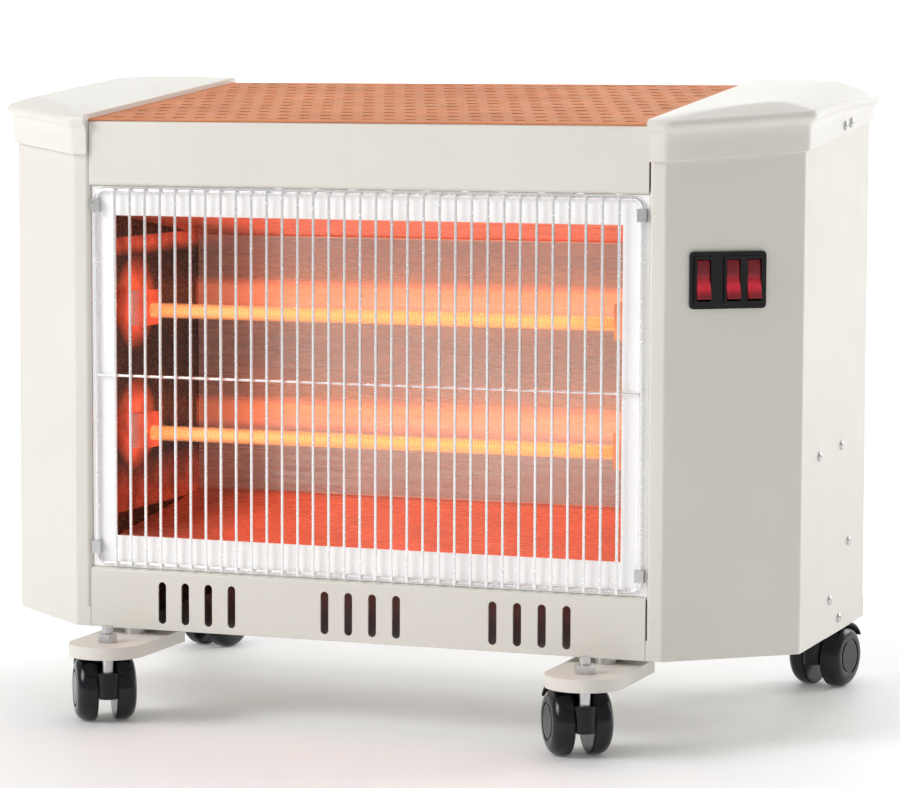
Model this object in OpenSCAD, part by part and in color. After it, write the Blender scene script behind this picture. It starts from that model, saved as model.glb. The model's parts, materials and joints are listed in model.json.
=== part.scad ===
// Free-standing radiant heater on four twin-wheel casters.
// Two quartz tubes lie across a bright reflector behind a wire guard, and a third lies under the
// perforated top. The end boxes are folded sheet with slanted front corners, and carry the switches.
// X runs across the heater, Y from its front to its back, Z up. The origin is on the floor, under
// the middle of the whole. Modules draw in the case's own frame: its Y is 0 at the front face and
// its Z is 0 at the case's lower edge.

/* [Case] */
// Width of the front bay between the end boxes
bay_w = 430; // [420:2:500]
// Depth of the case from front to back
case_d = 262; // [258:1:280]
// Height of the case at the top of its front
case_h = 375.5; // [372:0.5:400]
// Rise of the top from front to back
top_rise = 26; // [22:0.5:30]
// Thickness of the case's sheet
sheet = 1.2; // [1:0.1:1.5]
// Inside radius of the folds in the sheet
fold_r = 2; // [1.5:0.25:3]
// Depth of the flanges folded along the sheets' edges
flange = 12; // [9:0.5:14]
// Gap between pieces that lie beside each other
seam = 0.3; // [0.2:0.05:0.4]

/* [End boxes] */
// Width of the flat strip beside the front bay
strip_w = 11.7; // [10:0.1:16]
// Width of the slanted face, seen from the front
slant_w = 81.4; // [76:0.2:90]
// Depth of the slanted face, seen from the side
slant_d = 68.9; // [64:0.1:76]
// Depth of the flange folded in beside the front bay
return_w = 18; // [14:0.5:22]

/* [Caps] */
// Height of the cap's skirt below the line of the top
skirt_h = 26; // [22:0.5:30]
// Height of the cap's edge above the line of the top
cap_rise = 3.5; // [3:0.25:5]
// Height of the cap's crown above the line of the top
cap_crown = 9.5; // [8:0.5:12]
// How far the cap's outer rear corner droops
cap_droop = 12; // [8:0.5:14]
// How far the skirt's lower edge stands out from the case
skirt_out = 3; // [2.5:0.1:4]
// How far the cap's rim stands out from the case
rim_out = 8.2; // [7:0.1:10]
// Thickness of the cap's wall
cap_wall = 2.4; // [2:0.1:2.6]

/* [Front] */
// Height of the lower fascia
lower_h = 44.5; // [43:0.5:50]
// Height of the upper fascia
upper_h = 48.8; // [44:0.2:54]
// Width of an air slot
slot_w = 6.2; // [4:0.1:8]
// Height of an air slot
slot_h = 31; // [24:0.5:33]
// Height of the slots' lower ends
slot_z = 4.8; // [4:0.1:6]
// Distance between the slots of a group
slot_pitch = 18.5; // [14:0.5:22]
// Number of slots in a group
group_slots = 4; // [2:1:5]
// Distance between the groups' centres
group_pitch = 129; // [110:1:140]

/* [Wire guard] */
// Diameter of the upright wires and the mid wire
wire_d = 2.3; // [1.8:0.1:2.6]
// Diameter of the guard's outer wire
frame_wire_d = 3.2; // [2.8:0.1:3.6]
// Largest distance between upright wires
wire_pitch = 12.1; // [10:0.1:14]
// Bend radius of the outer wire's corners
guard_corner_r = 7; // [5:0.5:10]
// Gap at the spot welds between crossing wires
weld_gap = 0.02; // [0.01:0.01:0.05]

/* [Heating cavity] */
// Width of the bright frame beside the opening
frame_side_w = 20; // [18:0.5:26]
// Height of the bright frame below the opening
frame_low_h = 24; // [18:0.5:28]
// Height of the bright frame above the opening
frame_high_h = 21.7; // [18:0.1:26]
// Depth of the reflector
reflector_d = 145; // [125:1:165]
// How far the reflector's upper and lower sides close in towards its back
reflector_taper = 19; // [12:0.5:26]
// Thickness of the reflector, its frame and its end plates
bright_sheet = 1; // [0.8:0.1:1.2]
// Distance of the end plates from the rear panel's flange
end_plate_gap = 0.5; // [0.5:0.5:8]

/* [Tubes] */
// Outer diameter of a quartz tube
tube_d = 11; // [10:0.25:12]
// Wall of a quartz tube
tube_wall = 1; // [0.8:0.1:1.3]
// Distance of a tube's ends from the opening's sides
tube_inset = 11; // [10:0.5:13]
// Diameter of a heating coil
coil_d = 7; // [5:0.25:7.5]
// Distance of a coil's ends from the tube's ends
coil_inset = 4; // [2:0.5:10]
// Depth of the two front tubes behind the front face
tube_y = 38; // [34:1:60]
// Height difference between the two front tubes
tube_gap = 91.5; // [80:0.5:110]
// Distance of the tube under the top in front of the case's middle
top_tube_shift = 1; // [-20:1:20]
// Distance of that tube below the top of the front
top_tube_drop = 23.5; // [18:0.5:25]
// Side of a ceramic tube holder, front to back
holder_d = 22; // [18:0.5:26]
// Diameter of the holder's neck through the end plate
neck_d = 15.2; // [14:0.1:17]
// Diameter of a terminal stud
stud_d = 4; // [3:0.25:5]

/* [Top grille] */
// Thickness of the perforated sheet
grille_t = 1; // [0.8:0.1:1.2]
// Number of rows of holes
grille_rows = 12; // [8:1:12]
// Number of holes in a full row
grille_columns = 25; // [18:1:25]
// Length of a hole
hole_l = 10; // [7:0.5:11]
// Width of a hole
hole_w = 6; // [4:0.25:7]

/* [Switches] */
// Width of the switch bezel
bezel_w = 58; // [57:0.5:62]
// Height of the switch bezel
bezel_h = 40; // [38:0.5:46]
// Thickness of the switch bezel
bezel_t = 2.2; // [1.8:0.1:2.6]
// Distance of the bezel's centre from the front edge of the slanted face
bezel_s = 47.4; // [44:0.2:60]
// Distance of the bezel's centre below the top of the front
bezel_drop = 108.5; // [75:0.5:170]
// Distance of the single rocker in front of the bezel's centre
single_s = 19.1; // [18.8:0.1:19.6]
// Distance of the rocker pair's middle behind the bezel's centre
pair_s = 11.5; // [11.2:0.1:11.8]
// Distance between the paired rockers
pair_pitch = 16; // [15.4:0.1:16.4]
// Width of a rocker
rocker_w = 10; // [9:0.1:10.4]
// Height of a rocker
rocker_h = 27.4; // [25:0.1:28.4]
// Angle of a rocker either side of level
rocker_tilt = 8; // [6:0.5:9]

/* [Feet] */
// Distance of the front caster stems from the middle
front_stem_x = 183; // [170:1:185]
// Distance of the front caster stems in front of the case
front_stem_out = 38; // [34:0.5:42]
// Distance of the rear caster stems from the middle
rear_stem_x = 260; // [250:1:270]
// Distance of the rear caster stems behind the case
rear_stem_out = 36; // [33:0.5:42]
// Length of a bracket behind its stem
bracket_l = 74; // [74:1:90]
// Radius of a bracket's round end
bracket_r = 28; // [27:0.25:30]
// Depth of a bracket's rim
bracket_h = 9.2; // [8:0.2:10]
// Thickness of a bracket's sheet
bracket_t = 1.5; // [1.2:0.1:2]
// Height of the spacers between the brackets and the case
spacer_h = 4.5; // [4:0.25:6]
// Diameter of a spacer
spacer_d = 16; // [14:0.5:20]

/* [Casters] */
// Height of a caster from the floor to its bracket
caster_h = 59; // [59:0.25:62]
// Diameter of a wheel
wheel_d = 48; // [46:0.25:48.5]
// Width of a wheel
wheel_w = 15; // [14:0.25:18]
// Distance between the two wheels of a caster
wheel_gap = 13.6; // [13.4:0.1:15]
// Distance of the axle behind the stem
trail = 20; // [18:0.25:22]
// Diameter of the axle
axle_d = 6; // [5:0.25:7]
// Diameter of the stem
stem_d = 8; // [7:0.25:8.4]
// Thickness of the hood
hood_t = 1.5; // [1.3:0.1:1.8]
// Angle of the front casters
front_turn = -57; // [-80:1:0]
// Angle of the rear casters
rear_turn = -103; // [-120:1:-85]
// Running clearance round stems, axles and pins
run_fit = 0.05; // [0.03:0.01:0.08]

/* [Cord inlet] */
// Bore of the cord's grommet
cord_d = 8; // [6.5:0.25:9]
// Distance of the inlet from the middle
inlet_x = 250; // [235:1:262]
// Height of the inlet
inlet_z = 45; // [35:1:70]

/* [Hidden] */
$fn = 48;

cream = "#e9e4da";
cap_cream = "#e6e1d6";
bright = "#e8e8e6";
chromed = "#c9cbcc";
copper = "#d98a63";
glow = "#ffb259";
clear_glass = "#ffd9a8";
porcelain = "#efe9dc";
black = "#1c1c1e";
lit_red = "#d3202b";
brass = "#c8a657";
steel = "#a9abad";
pale_zinc = "#d9d8d2";

// Case
half_bay = bay_w / 2;
side_x = half_bay + strip_w + slant_w;
slant_angle = atan2(slant_d, slant_w);
slope_angle = atan(top_rise / case_d);
slope_l = case_d / cos(slope_angle);
back_y = case_d - sheet;
bezel_z = case_h - bezel_drop;
base_t = 1.5;
rest_gap = 0.02;
under_grille = grille_t / cos(slope_angle) + rest_gap;
base_flange_h = 14;
front_flange_h = 4;
beyond = case_h + case_d;

// Caps, and the sheet's upper edges, which end below the caps' lowest underside
cap_corner_r = 4;
cap_inside = 0.25;
cap_over = 0.12;
cap_roof = cap_wall + 0.6;
skin_drop = cap_droop - cap_rise + cap_roof + 1;
edge_wall_drop = 1.7;
cap_core_x = side_x - 24;
cap_core_front = 62;
cap_core_back = case_d - 62;

// Front
upper_z = case_h - upper_h;
opening_w = bay_w - 2 * frame_side_w;
opening_z = lower_h + frame_low_h;
opening_top = upper_z - frame_high_h;
opening_mid_z = (opening_z + opening_top) / 2;
wire_r = wire_d / 2;
frame_wire_r = frame_wire_d / 2;
frame_wire_y = frame_wire_r + 0.6;
upright_y = frame_wire_y - wire_r - frame_wire_r - weld_gap;
mid_wire_y = upright_y + wire_d + weld_gap;
guard_x = half_bay - 5;
guard_low_z = lower_h + 3.5;
guard_high_z = upper_z - 3.2;
guard_mid_z = opening_mid_z + 0.5;
mid_wire_x = guard_x - frame_wire_r - weld_gap;
upright_overhang = 2;
end_upright_gap = 16.4;
uprights_w = 2 * (guard_x - end_upright_gap);
uprights = ceil(uprights_w / wire_pitch) + 1;
clip_w = 7;
clip_h = 9;
clip_inset = 4.5;

// Heating cavity
frame_y = 4;
liner_y = frame_y + bright_sheet;
opening_x = opening_w / 2;
reflector_y = liner_y + reflector_d;
end_plate_to = case_d - flange - end_plate_gap;
reflector_x = opening_x - 0.1;
end_plate_x = opening_x + seam;
liner_flange = 9;
end_flange_out = half_bay - 2;
tray_front_y = 14;
tray_back_y = case_d - 16;
tray_gap = 4;
tray_floor_drop = 16;
tray_floor_w = 44;

// Tubes, each at its depth and height
tube_l = opening_w - 2 * tube_inset;
coil_l = tube_l - 2 * coil_inset;
tube_mid_z = opening_mid_z + 1;
top_tube_y = case_d / 2 - top_tube_shift;
top_tube_z = case_h - top_tube_drop;
tray_floor_z = top_tube_z - tray_floor_drop;
TUBES = [
    [tube_y, tube_mid_z + tube_gap / 2],
    [tube_y, tube_mid_z - tube_gap / 2],
    [top_tube_y, top_tube_z]
];
tube_r = tube_d / 2;
neck_r = neck_d / 2;
neck_l = 11;
holder_below = 11;
holder_above = 15;
holder_t = 13.7;
holder_x = end_plate_x - holder_t;
stud_r = stud_d / 2;
stud_end = end_plate_x + bright_sheet + neck_l + 8;
stud_nut_t = 3;
stud_nut_af = 7;

// Switches
opening_slack = 0.3;
housing_lip = 1.2;
housing_edge = 1;
housing_end = 1.3;
housing_d = 18;
well_w = rocker_w + 2 * opening_slack;
well_h = rocker_h + 6 * opening_slack;
well_d = 10;
pivot_y = 1;
pivot_r = 1.4;
pivot_l = 0.6;
blade_l = 8;
blade_pitch = 9;
blade_w = 4.8;
blade_t = 0.8;

// Wiring
lead_r = 1.2;
lead_reach = 14;
lead_ease = 4;
lead_gap = 0.1;
block_l = 40;
block_w = 20;
block_h = 25;
block_x = half_bay + 20;
block_gap = 15;
cutout_x = 120;
cutout_z = opening_mid_z + 33;
cutout_r = 8;
cutout_h = 7;
cutout_ear_w = 24;
cutout_ear_h = 10;

// Feet and casters
foot_depths = [9, 26];
clear_h = caster_h + bracket_t + spacer_h;
rear_stem_y = case_d + rear_stem_out;
block_y = case_d - foot_depths[1] - block_gap - block_w;
front_end_y = -front_stem_out - bracket_r;
wheel_r = wheel_d / 2;
wheel_out = wheel_gap / 2 + wheel_w;
shoulder_r = 8;
rear_end_y = rear_stem_y + shoulder_r
    + (trail + wheel_r - shoulder_r) * abs(sin(rear_turn))
    + (wheel_out - shoulder_r) * abs(cos(rear_turn));
case_y = -(front_end_y + rear_end_y) / 2;
axle_r = axle_d / 2;
axle_end = wheel_gap / 2 + wheel_w - 4.5;
stem_r = stem_d / 2;
stem_low = 26;
stem_top = caster_h + bracket_t + 12;
stem_flange_t = 1.5;
stem_flange_r = 7;
caster_nut_af = 13;
caster_nut_h = 6.5;
hood_gap = 0.8;
hood_r = wheel_r + hood_gap + hood_t;
hood_half_w = wheel_out - 1.5;
web_half = wheel_gap / 2 - 0.3;
boss_r = 8;
boss_low = 19;
boss_top = 38;
foot_screw_r = 2;
foot_hole_r = 2.1;
foot_nut_af = 7;
foot_nut_h = 3.2;

// Rear panel and the grommet in it
REAR_SLOT_ROWS = [60, case_h - 45.5];
rear_slots = 12;
grommet_neck_r = cord_d / 2 + 3.5;
grommet_lip = 2;

// Screws of the panels: depth and height on each side, then places on the rear panel
SIDE_SCREWS = [[118, 136], [183, 138], [208, 64], [153, 27], [181, 10]];
CAP_SCREWS = [[169, case_h - 2.5], [187, case_h - 0.5]];
cap_screw_lift = 0.55;
REAR_SCREWS = [
    for (x = [-side_x + 9, side_x - 9], z = [30, case_h / 2, case_h - 35]) [x, z],
    for (x = [-120, 120]) [x, 7]
];
screw_r = 1.5;
screw_hole_r = 1.6;
screw_l = 8;
screw_head_r = 3.5;
screw_head_h = 2;

// The top's height at a depth
function top_z(y) = case_h + top_rise * y / case_d;

// Plain vector helpers
function unit(v) = v / norm(v);
function left_of(d) = [-d[1], d[0]];
function turn_between(a, b) = atan2(a[0] * b[1] - a[1] * b[0], a * b);
function backwards(list) = [for (i = [len(list) - 1:-1:0]) list[i]];
function blend(a, b, share) = a + (b - a) * share;

// One face of a folded strip: the outline itself at off = 0, its other face at off = thickness.
// The thickness lies to the left of the outline, and r is the inside radius of every fold.
function folded_face(path, r, thick, off) =
    let (last = len(path) - 1)
    let (run = [for (i = [0:last - 1]) unit(path[i + 1] - path[i])])
    let (angle = [for (i = [1:last - 1]) turn_between(run[i - 1], run[i])])
    let (steps = 5)
    [
        path[0] + off * left_of(run[0]),
        for (i = [1:last - 1])
            let (side = angle[i - 1] > 0 ? 1 : -1)
            let (radius = side > 0 ? r + thick : r)
            let (trim = radius * tan(abs(angle[i - 1]) / 2))
            let (centre = path[i] - trim * run[i - 1] + side * radius * left_of(run[i - 1]))
            let (from = atan2(run[i - 1][1], run[i - 1][0]) - side * 90)
            for (k = [0:steps])
                let (a = from + angle[i - 1] * k / steps)
                centre + (radius - side * off) * [cos(a), sin(a)],
        path[last] + off * left_of(run[last - 1])
    ];

// Section of a sheet folded along a path
module folded(path, thick) {
    polygon(concat(
        folded_face(path, fold_r, thick, 0),
        backwards(folded_face(path, fold_r, thick, thick))
    ));
}

// A section given in Y and Z, drawn out along X from one side to the other
module across(from_x, to_x) {
    translate([from_x, 0, 0])
    rotate([90, 0, 90])
    linear_extrude(to_x - from_x)
    children();
}

// A cylinder along X, along Y
module rod_x(r, from_x, to_x) {
    translate([from_x, 0, 0])
    rotate([0, 90, 0])
    cylinder(r = r, h = to_x - from_x);
}

module rod_y(r, from_y, to_y) {
    translate([0, from_y, 0])
    rotate([-90, 0, 0])
    cylinder(r = r, h = to_y - from_y);
}

module placed() {
    translate([0, case_y, clear_h])
    children();
}

module both_sides() {
    children();
    mirror([1, 0, 0])
    children();
}

// Keeps what lies more than a drop below the sloping top
module below_top(drop) {
    intersection() {
        children();
        across(-beyond, beyond)
        polygon([
            [-beyond, -beyond],
            [beyond, -beyond],
            [beyond, top_z(beyond) - drop],
            [-beyond, top_z(-beyond) - drop]
        ]);
    }
}

// Frame of the sloping top: Y along the slope, Z square to it
module on_top() {
    translate([0, 0, case_h])
    rotate([slope_angle, 0, 0])
    children();
}

// Frame of the right slanted face: X along it to the rear, Y into the case
module on_slant(s, z) {
    translate([half_bay + strip_w, 0, 0])
    rotate([0, 0, slant_angle])
    translate([s, 0, z])
    children();
}

// Corners of the case's plan, inset from its outer faces
function strip_corner(inset) = [half_bay + strip_w - inset * tan(slant_angle / 2), inset];
function side_corner(inset) =
    [side_x - inset, slant_d + inset * tan((90 - slant_angle) / 2)];

module plan(inset, back) {
    right = [strip_corner(inset), side_corner(inset), [side_x - inset, back]];
    polygon(concat(right, backwards([for (p = right) [-p[0], p[1]]])));
}

// A slot with round ends, its length along Y
module slot(width, length) {
    square([width, length - width], center = true);
    for (end = [-1, 1])
        translate([0, end * (length - width) / 2])
        circle(d = width);
}

module rounded_rectangle(width, height, r) {
    square([width - 2 * r, height], center = true);
    square([width, height - 2 * r], center = true);
    for (x = [-1, 1], y = [-1, 1])
        translate([x * (width / 2 - r), y * (height / 2 - r)])
        circle(r);
}

// --- Case -------------------------------------------------------------------------------------

// Places of the bolts that hold the brackets, by their distance in from the case's edge
module at_front_feet() {
    both_sides()
    for (depth = foot_depths)
        translate([front_stem_x, depth, 0])
        children();
}

module at_rear_feet() {
    both_sides()
    for (depth = foot_depths)
        translate([rear_stem_x, case_d - depth, 0])
        children();
}

module base_plate() {
    color(cream)
    placed()
    difference() {
        union() {
            linear_extrude(base_t)
            plan(sheet + seam, back_y - seam);
            linear_extrude(base_flange_h)
            difference() {
                plan(sheet + seam, back_y - seam);
                plan(sheet + seam + base_t, back_y - seam - base_t);
            }
        }
        translate([-half_bay, 0, front_flange_h])
        cube([bay_w, flange, base_flange_h]);
        translate([0, 0, -1]) {
            at_front_feet()
            cylinder(r = foot_hole_r, h = base_t + 2);
            at_rear_feet()
            cylinder(r = foot_hole_r, h = base_t + 2);
        }
        both_sides()
        side_screw_holes(side_x - flange, SIDE_SCREWS);
        rear_screw_holes(case_d - flange);
    }
}

// Holes of the screws in a side, and of those in the rear panel, from a depth outwards
module side_screw_holes(from_x, spots) {
    for (spot = spots)
        translate([0, spot[0], spot[1]])
        rod_x(screw_hole_r, from_x, side_x + 2 * rim_out);
}

module rear_screw_holes(from_y) {
    for (spot = REAR_SCREWS)
        translate([spot[0], 0, spot[1]])
        rod_y(screw_hole_r, from_y, case_d + 1);
}

module lower_fascia() {
    half_w = half_bay - seam;
    color(cream)
    placed()
    difference() {
        across(-half_w, half_w)
        folded([[flange, lower_h], [0, lower_h], [0, 0]], sheet);
        rotate([90, 0, 0])
        translate([0, 0, -2 * sheet])
        linear_extrude(3 * sheet)
        for (group = [-1:1], i = [0:group_slots - 1])
            translate([
                group * group_pitch + (i - (group_slots - 1) / 2) * slot_pitch,
                slot_z + slot_h / 2
            ])
            slot(slot_w, slot_h);
    }
}

module upper_fascia() {
    half_w = half_bay - seam;
    color(cream)
    placed()
    across(-half_w, half_w)
    folded([
        [flange, top_z(flange) - under_grille],
        [0, case_h - under_grille],
        [0, upper_z],
        [flange, upper_z]
    ], sheet);
}

// Skin of the right end box, with the holes of its screws
module end_panel_blank() {
    skin = [[half_bay, 0], strip_corner(0), side_corner(0), [side_x, back_y]];
    with_flanges = concat([[half_bay, return_w]], skin, [[side_x - return_w, back_y]]);
    difference() {
        below_top(skin_drop)
        union() {
            linear_extrude(base_flange_h + 2 * seam)
            folded(skin, sheet);
            translate([0, 0, base_flange_h + seam])
            linear_extrude(case_h + top_rise)
            folded(with_flanges, sheet);
        }
        side_screw_holes(side_x - 2 * sheet, concat(SIDE_SCREWS, CAP_SCREWS));
        rear_screw_holes(case_d - flange);
    }
}

module left_end_panel() {
    color(cream)
    placed()
    mirror([1, 0, 0])
    end_panel_blank();
}

module right_end_panel() {
    color(cream)
    placed()
    difference() {
        end_panel_blank();
        switch_cutouts(sheet + 1);
    }
}

module rear_panel() {
    side_h = case_h + top_rise - skin_drop;
    half_w = half_bay - seam;
    slot_half = half_w - 40;
    back_half_w = side_x - fold_r - sheet;
    color(cream)
    placed()
    difference() {
        union() {
            translate([-back_half_w, back_y, 0])
            cube([2 * back_half_w, sheet, side_h]);
            across(-half_w, half_w)
            folded([
                [case_d, side_h - flange],
                [case_d, top_z(case_d) - under_grille],
                [case_d - flange, top_z(case_d - flange) - under_grille]
            ], sheet);
        }
        translate([0, case_d + 1, 0])
        rotate([90, 0, 0])
        linear_extrude(sheet + 2)
        for (row = REAR_SLOT_ROWS, i = [0:rear_slots - 1])
            translate([blend(-slot_half, slot_half, i / (rear_slots - 1)), row])
            slot(slot_w, slot_h);
        rear_screw_holes(back_y - 1);
        translate([inlet_x, 0, inlet_z])
        rod_y(grommet_neck_r + seam / 2, back_y - 1, case_d + 1);
    }
}

module top_grille() {
    half_w = half_bay - seam;
    edge = 9;
    rows_l = slope_l - 2 * edge - 10;
    row_pitch = rows_l / (grille_rows - 1);
    column_pitch = (2 * half_w - 2 * edge) / grille_columns;
    color(copper)
    placed()
    on_top()
    translate([0, 0, -grille_t])
    linear_extrude(grille_t)
    difference() {
        translate([-half_w, 0])
        square([2 * half_w, slope_l]);
        for (row = [0:grille_rows - 1])
            let (holes = grille_columns - row % 2)
            for (i = [0:holes - 1])
                translate([
                    (i - (holes - 1) / 2) * column_pitch,
                    slope_l / 2 + (row - (grille_rows - 1) / 2) * row_pitch
                ])
                rotate(90)
                slot(hole_w, hole_l);
    }
}

// --- Caps -------------------------------------------------------------------------------------

// The cap's plan is a list of [place, way out of the case, 1 on the edge beside the grille].
// An arc of the plan's outer corners, by its own corner point and the ways out at its ends
function cap_arc(corner, from, to, steps) = [
    for (k = [0:steps])
        let (a = from + (to - from) * k / steps)
        [corner + cap_corner_r * [cos(a), sin(a)], [cos(a), sin(a)], 0]
];

function cap_run(a, b, steps) = [
    for (k = [1:steps - 1])
        [blend(a[0], b[0], k / steps), a[1], 0]
];

function cap_plan() =
    let (slant_out = slant_angle - 90)
    let (front = [[half_bay + seam, 0], [0, -1], 1])
    let (strip = cap_arc(strip_corner(cap_corner_r), -90, slant_out, 3))
    let (side = cap_arc(side_corner(cap_corner_r), slant_out, 0, 4))
    let (back = cap_arc([side_x - cap_corner_r, case_d - cap_corner_r], 0, 90, 6))
    let (rear = [[half_bay + seam, case_d], [0, 1], 1])
    concat(
        [front],
        strip,
        cap_run(strip[3], side[0], 4),
        side,
        cap_run(side[4], back[0], 6),
        back,
        cap_run(back[6], rear, 4),
        [rear],
        [for (k = [0:6]) [[half_bay + seam, blend(case_d + cap_over, -cap_over, k / 6)], [0, 0], 2]]
    );

// Height of the cap's rim above the line of the top
function rim_rise(p) =
    let (u = max(0, min(1, (p[0] - half_bay) / (side_x - half_bay))))
    let (v = max(0, min(1, p[1] / case_d)))
    cap_rise - cap_droop * pow(u, 2) * pow(v, 3);

// A ring of the cap's skirt: share of the way from its lower edge to its rim, distance out
// from the case, and thickness kept beside the grille
function skirt_ring(share, out, inward) = [
    for (p = cap_plan())
        let (q = p[0] + out * p[1] + (p[2] > 0 ? [inward, 0] : [0, 0]))
        let (low = p[2] == 2 ? -edge_wall_drop : -skirt_h)
        [q[0], q[1], top_z(q[1]) + blend(low, rim_rise(p[0]), share)]
];

// A ring of the crown: share of the way from the rim to the crown's ridge
function crown_ring(share, out, inward, drop) = [
    for (p = cap_plan())
        let (rim = p[0] + out * p[1] + (p[2] > 0 ? [inward, 0] : [0, 0]))
        let (ridge = [cap_core_x, max(cap_core_front, min(cap_core_back, rim[1]))])
        let (q = blend(rim, ridge, share))
        [q[0], q[1], top_z(q[1]) + blend(rim_rise(p[0]), cap_crown, sin(90 * share)) - drop]
];

// A closed shell from rings that run from its outer lower edge over its crown and back inside
module cap_blank() {
    rings = concat(
        [
            skirt_ring(0, skirt_out, 0),
            skirt_ring(0.62, skirt_out + 0.8, 0),
            skirt_ring(0.76, rim_out - 0.6, 0),
            skirt_ring(0.88, rim_out, 0),
            skirt_ring(1, rim_out - 2, 0)
        ],
        [for (share = [0.12, 0.3, 0.5, 0.7, 0.88]) crown_ring(share, rim_out - 2, 0, 0)],
        [
            for (share = [0.88, 0.6, 0.3, 0])
                crown_ring(share, cap_inside, cap_wall, cap_roof)
        ],
        [skirt_ring(0, cap_inside, cap_wall)]
    );
    count = len(cap_plan());
    levels = len(rings);
    top_level = 9;
    crown_y = (cap_core_front + cap_core_back) / 2;
    outer_tip = [cap_core_x, crown_y, top_z(crown_y) + cap_crown];
    inner_tip = outer_tip - [0, 0, cap_roof];
    points = concat([for (ring = rings) for (p = ring) p], [outer_tip, inner_tip]);
    side_faces = [
        for (level = [0:levels - 1])
            let (next = (level + 1) % levels)
            if (level != top_level)
                for (i = [0:count - 1])
                    let (j = (i + 1) % count)
                    for (face = [
                        [level * count + i, next * count + i, next * count + j],
                        [level * count + i, next * count + j, level * count + j]
                    ])
                        face
    ];
    tip_faces = [
        for (i = [0:count - 1])
            let (j = (i + 1) % count)
            for (face = [
                [top_level * count + i, levels * count, top_level * count + j],
                [(top_level + 1) * count + j, levels * count + 1, (top_level + 1) * count + i]
            ])
                face
    ];
    difference() {
        polyhedron(points, concat(side_faces, tip_faces));
        side_screw_holes(side_x - 1, CAP_SCREWS);
    }
}

module right_cap() {
    color(cap_cream)
    placed()
    cap_blank();
}

module left_cap() {
    color(cap_cream)
    placed()
    mirror([1, 0, 0])
    cap_blank();
}

// --- Guard and cavity ---------------------------------------------------------------------------

module front_guard() {
    straight_x = guard_x - guard_corner_r;
    low = guard_low_z + guard_corner_r;
    high = guard_high_z - guard_corner_r;
    color(chromed)
    placed() {
        translate([0, frame_wire_y, 0]) {
            for (z = [guard_low_z, guard_high_z])
                translate([0, 0, z])
                rod_x(frame_wire_r, -straight_x, straight_x);
            for (x = [-guard_x, guard_x])
                translate([x, 0, low])
                cylinder(r = frame_wire_r, h = high - low);
            for (corner = [[1, high, 0], [-1, high, 90], [-1, low, 180], [1, low, 270]])
                translate([corner[0] * straight_x, 0, corner[1]])
                rotate([90, -corner[2], 0])
                rotate_extrude(angle = 90)
                translate([guard_corner_r, 0])
                circle(frame_wire_r);
        }
        translate([0, mid_wire_y, guard_mid_z])
        rod_x(wire_r, -mid_wire_x, mid_wire_x);
        for (i = [0:uprights - 1])
            translate([
                blend(-uprights_w, uprights_w, i / (uprights - 1)) / 2,
                upright_y,
                guard_low_z - upright_overhang
            ])
            cylinder(r = wire_r, h = guard_high_z - guard_low_z + 2 * upright_overhang);
    }
}

module guard_clips() {
    color(steel)
    placed()
    both_sides()
    for (z = [guard_low_z + guard_corner_r + clip_inset, guard_high_z - guard_corner_r - clip_inset])
        translate([guard_x, 0, z])
        difference() {
            translate([-clip_w / 2, -1, -clip_h / 2])
            cube([clip_w, frame_y + 1, clip_h]);
            translate([0, frame_wire_y, -clip_h])
            cylinder(r = frame_wire_r + run_fit, h = 2 * clip_h);
            translate([-frame_wire_r - run_fit, frame_wire_y, -clip_h])
            cube([2 * (frame_wire_r + run_fit), frame_y, 2 * clip_h]);
        }
}

module cavity_frame() {
    half_w = half_bay - 2 * seam;
    color(bright)
    placed()
    difference() {
        translate([-half_w, frame_y, lower_h + seam])
        cube([2 * half_w, bright_sheet, upper_z - lower_h - 2 * seam]);
        translate([-opening_x, frame_y - 1, opening_z])
        cube([opening_w, bright_sheet + 2, opening_top - opening_z]);
    }
}

module reflector() {
    color(bright)
    placed()
    across(-reflector_x, reflector_x)
    folded([
        [liner_y, opening_top + liner_flange],
        [liner_y, opening_top],
        [reflector_y, opening_top - reflector_taper],
        [reflector_y, opening_z + reflector_taper],
        [liner_y, opening_z],
        [liner_y, opening_z - liner_flange]
    ], bright_sheet);
}

// Section of the strip under the sloping top, between two depths
function under_top(from_y, to_y, drop) = [
    [from_y, top_z(from_y) - drop],
    [to_y, top_z(to_y) - drop]
];

module right_end_plate_blank() {
    from_y = liner_y;
    inner_y = flange + seam;
    to_y = end_plate_to;
    top_from = from_y + flange;
    top_to = to_y - flange;
    drop = (grille_t + seam) / cos(slope_angle);
    lower = drop + bright_sheet / cos(slope_angle);
    color(bright)
    placed()
    difference() {
        union() {
            across(end_plate_x, end_plate_x + bright_sheet)
            polygon(concat(
                [
                    [to_y, base_t],
                    [inner_y, base_t],
                    [inner_y, lower_h + seam],
                    [from_y, lower_h + seam],
                    [from_y, upper_z - seam],
                    [inner_y, upper_z - seam]
                ],
                under_top(inner_y, top_from, drop),
                under_top(top_to, to_y, drop)
            ));
            across(end_plate_x, end_flange_out)
            polygon(concat(
                under_top(top_from, top_to, drop),
                backwards(under_top(top_from, top_to, lower))
            ));
            translate([end_plate_x, inner_y, base_t])
            cube([end_flange_out - end_plate_x, to_y - inner_y, bright_sheet]);
        }
        for (tube = TUBES)
            translate([0, tube[0], tube[1]])
            rod_x(neck_r + run_fit, end_plate_x - 1, end_plate_x + 2 * bright_sheet);
    }
}

module right_end_plate() {
    right_end_plate_blank();
}

module left_end_plate() {
    mirror([1, 0, 0])
    right_end_plate_blank();
}

module top_reflector() {
    color(bright)
    placed()
    across(-reflector_x, reflector_x)
    folded([
        [tray_back_y, top_z(tray_back_y) - tray_gap],
        [top_tube_y + tray_floor_w / 2, tray_floor_z],
        [top_tube_y - tray_floor_w / 2, tray_floor_z],
        [tray_front_y, top_z(tray_front_y) - tray_gap]
    ], bright_sheet);
}

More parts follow.
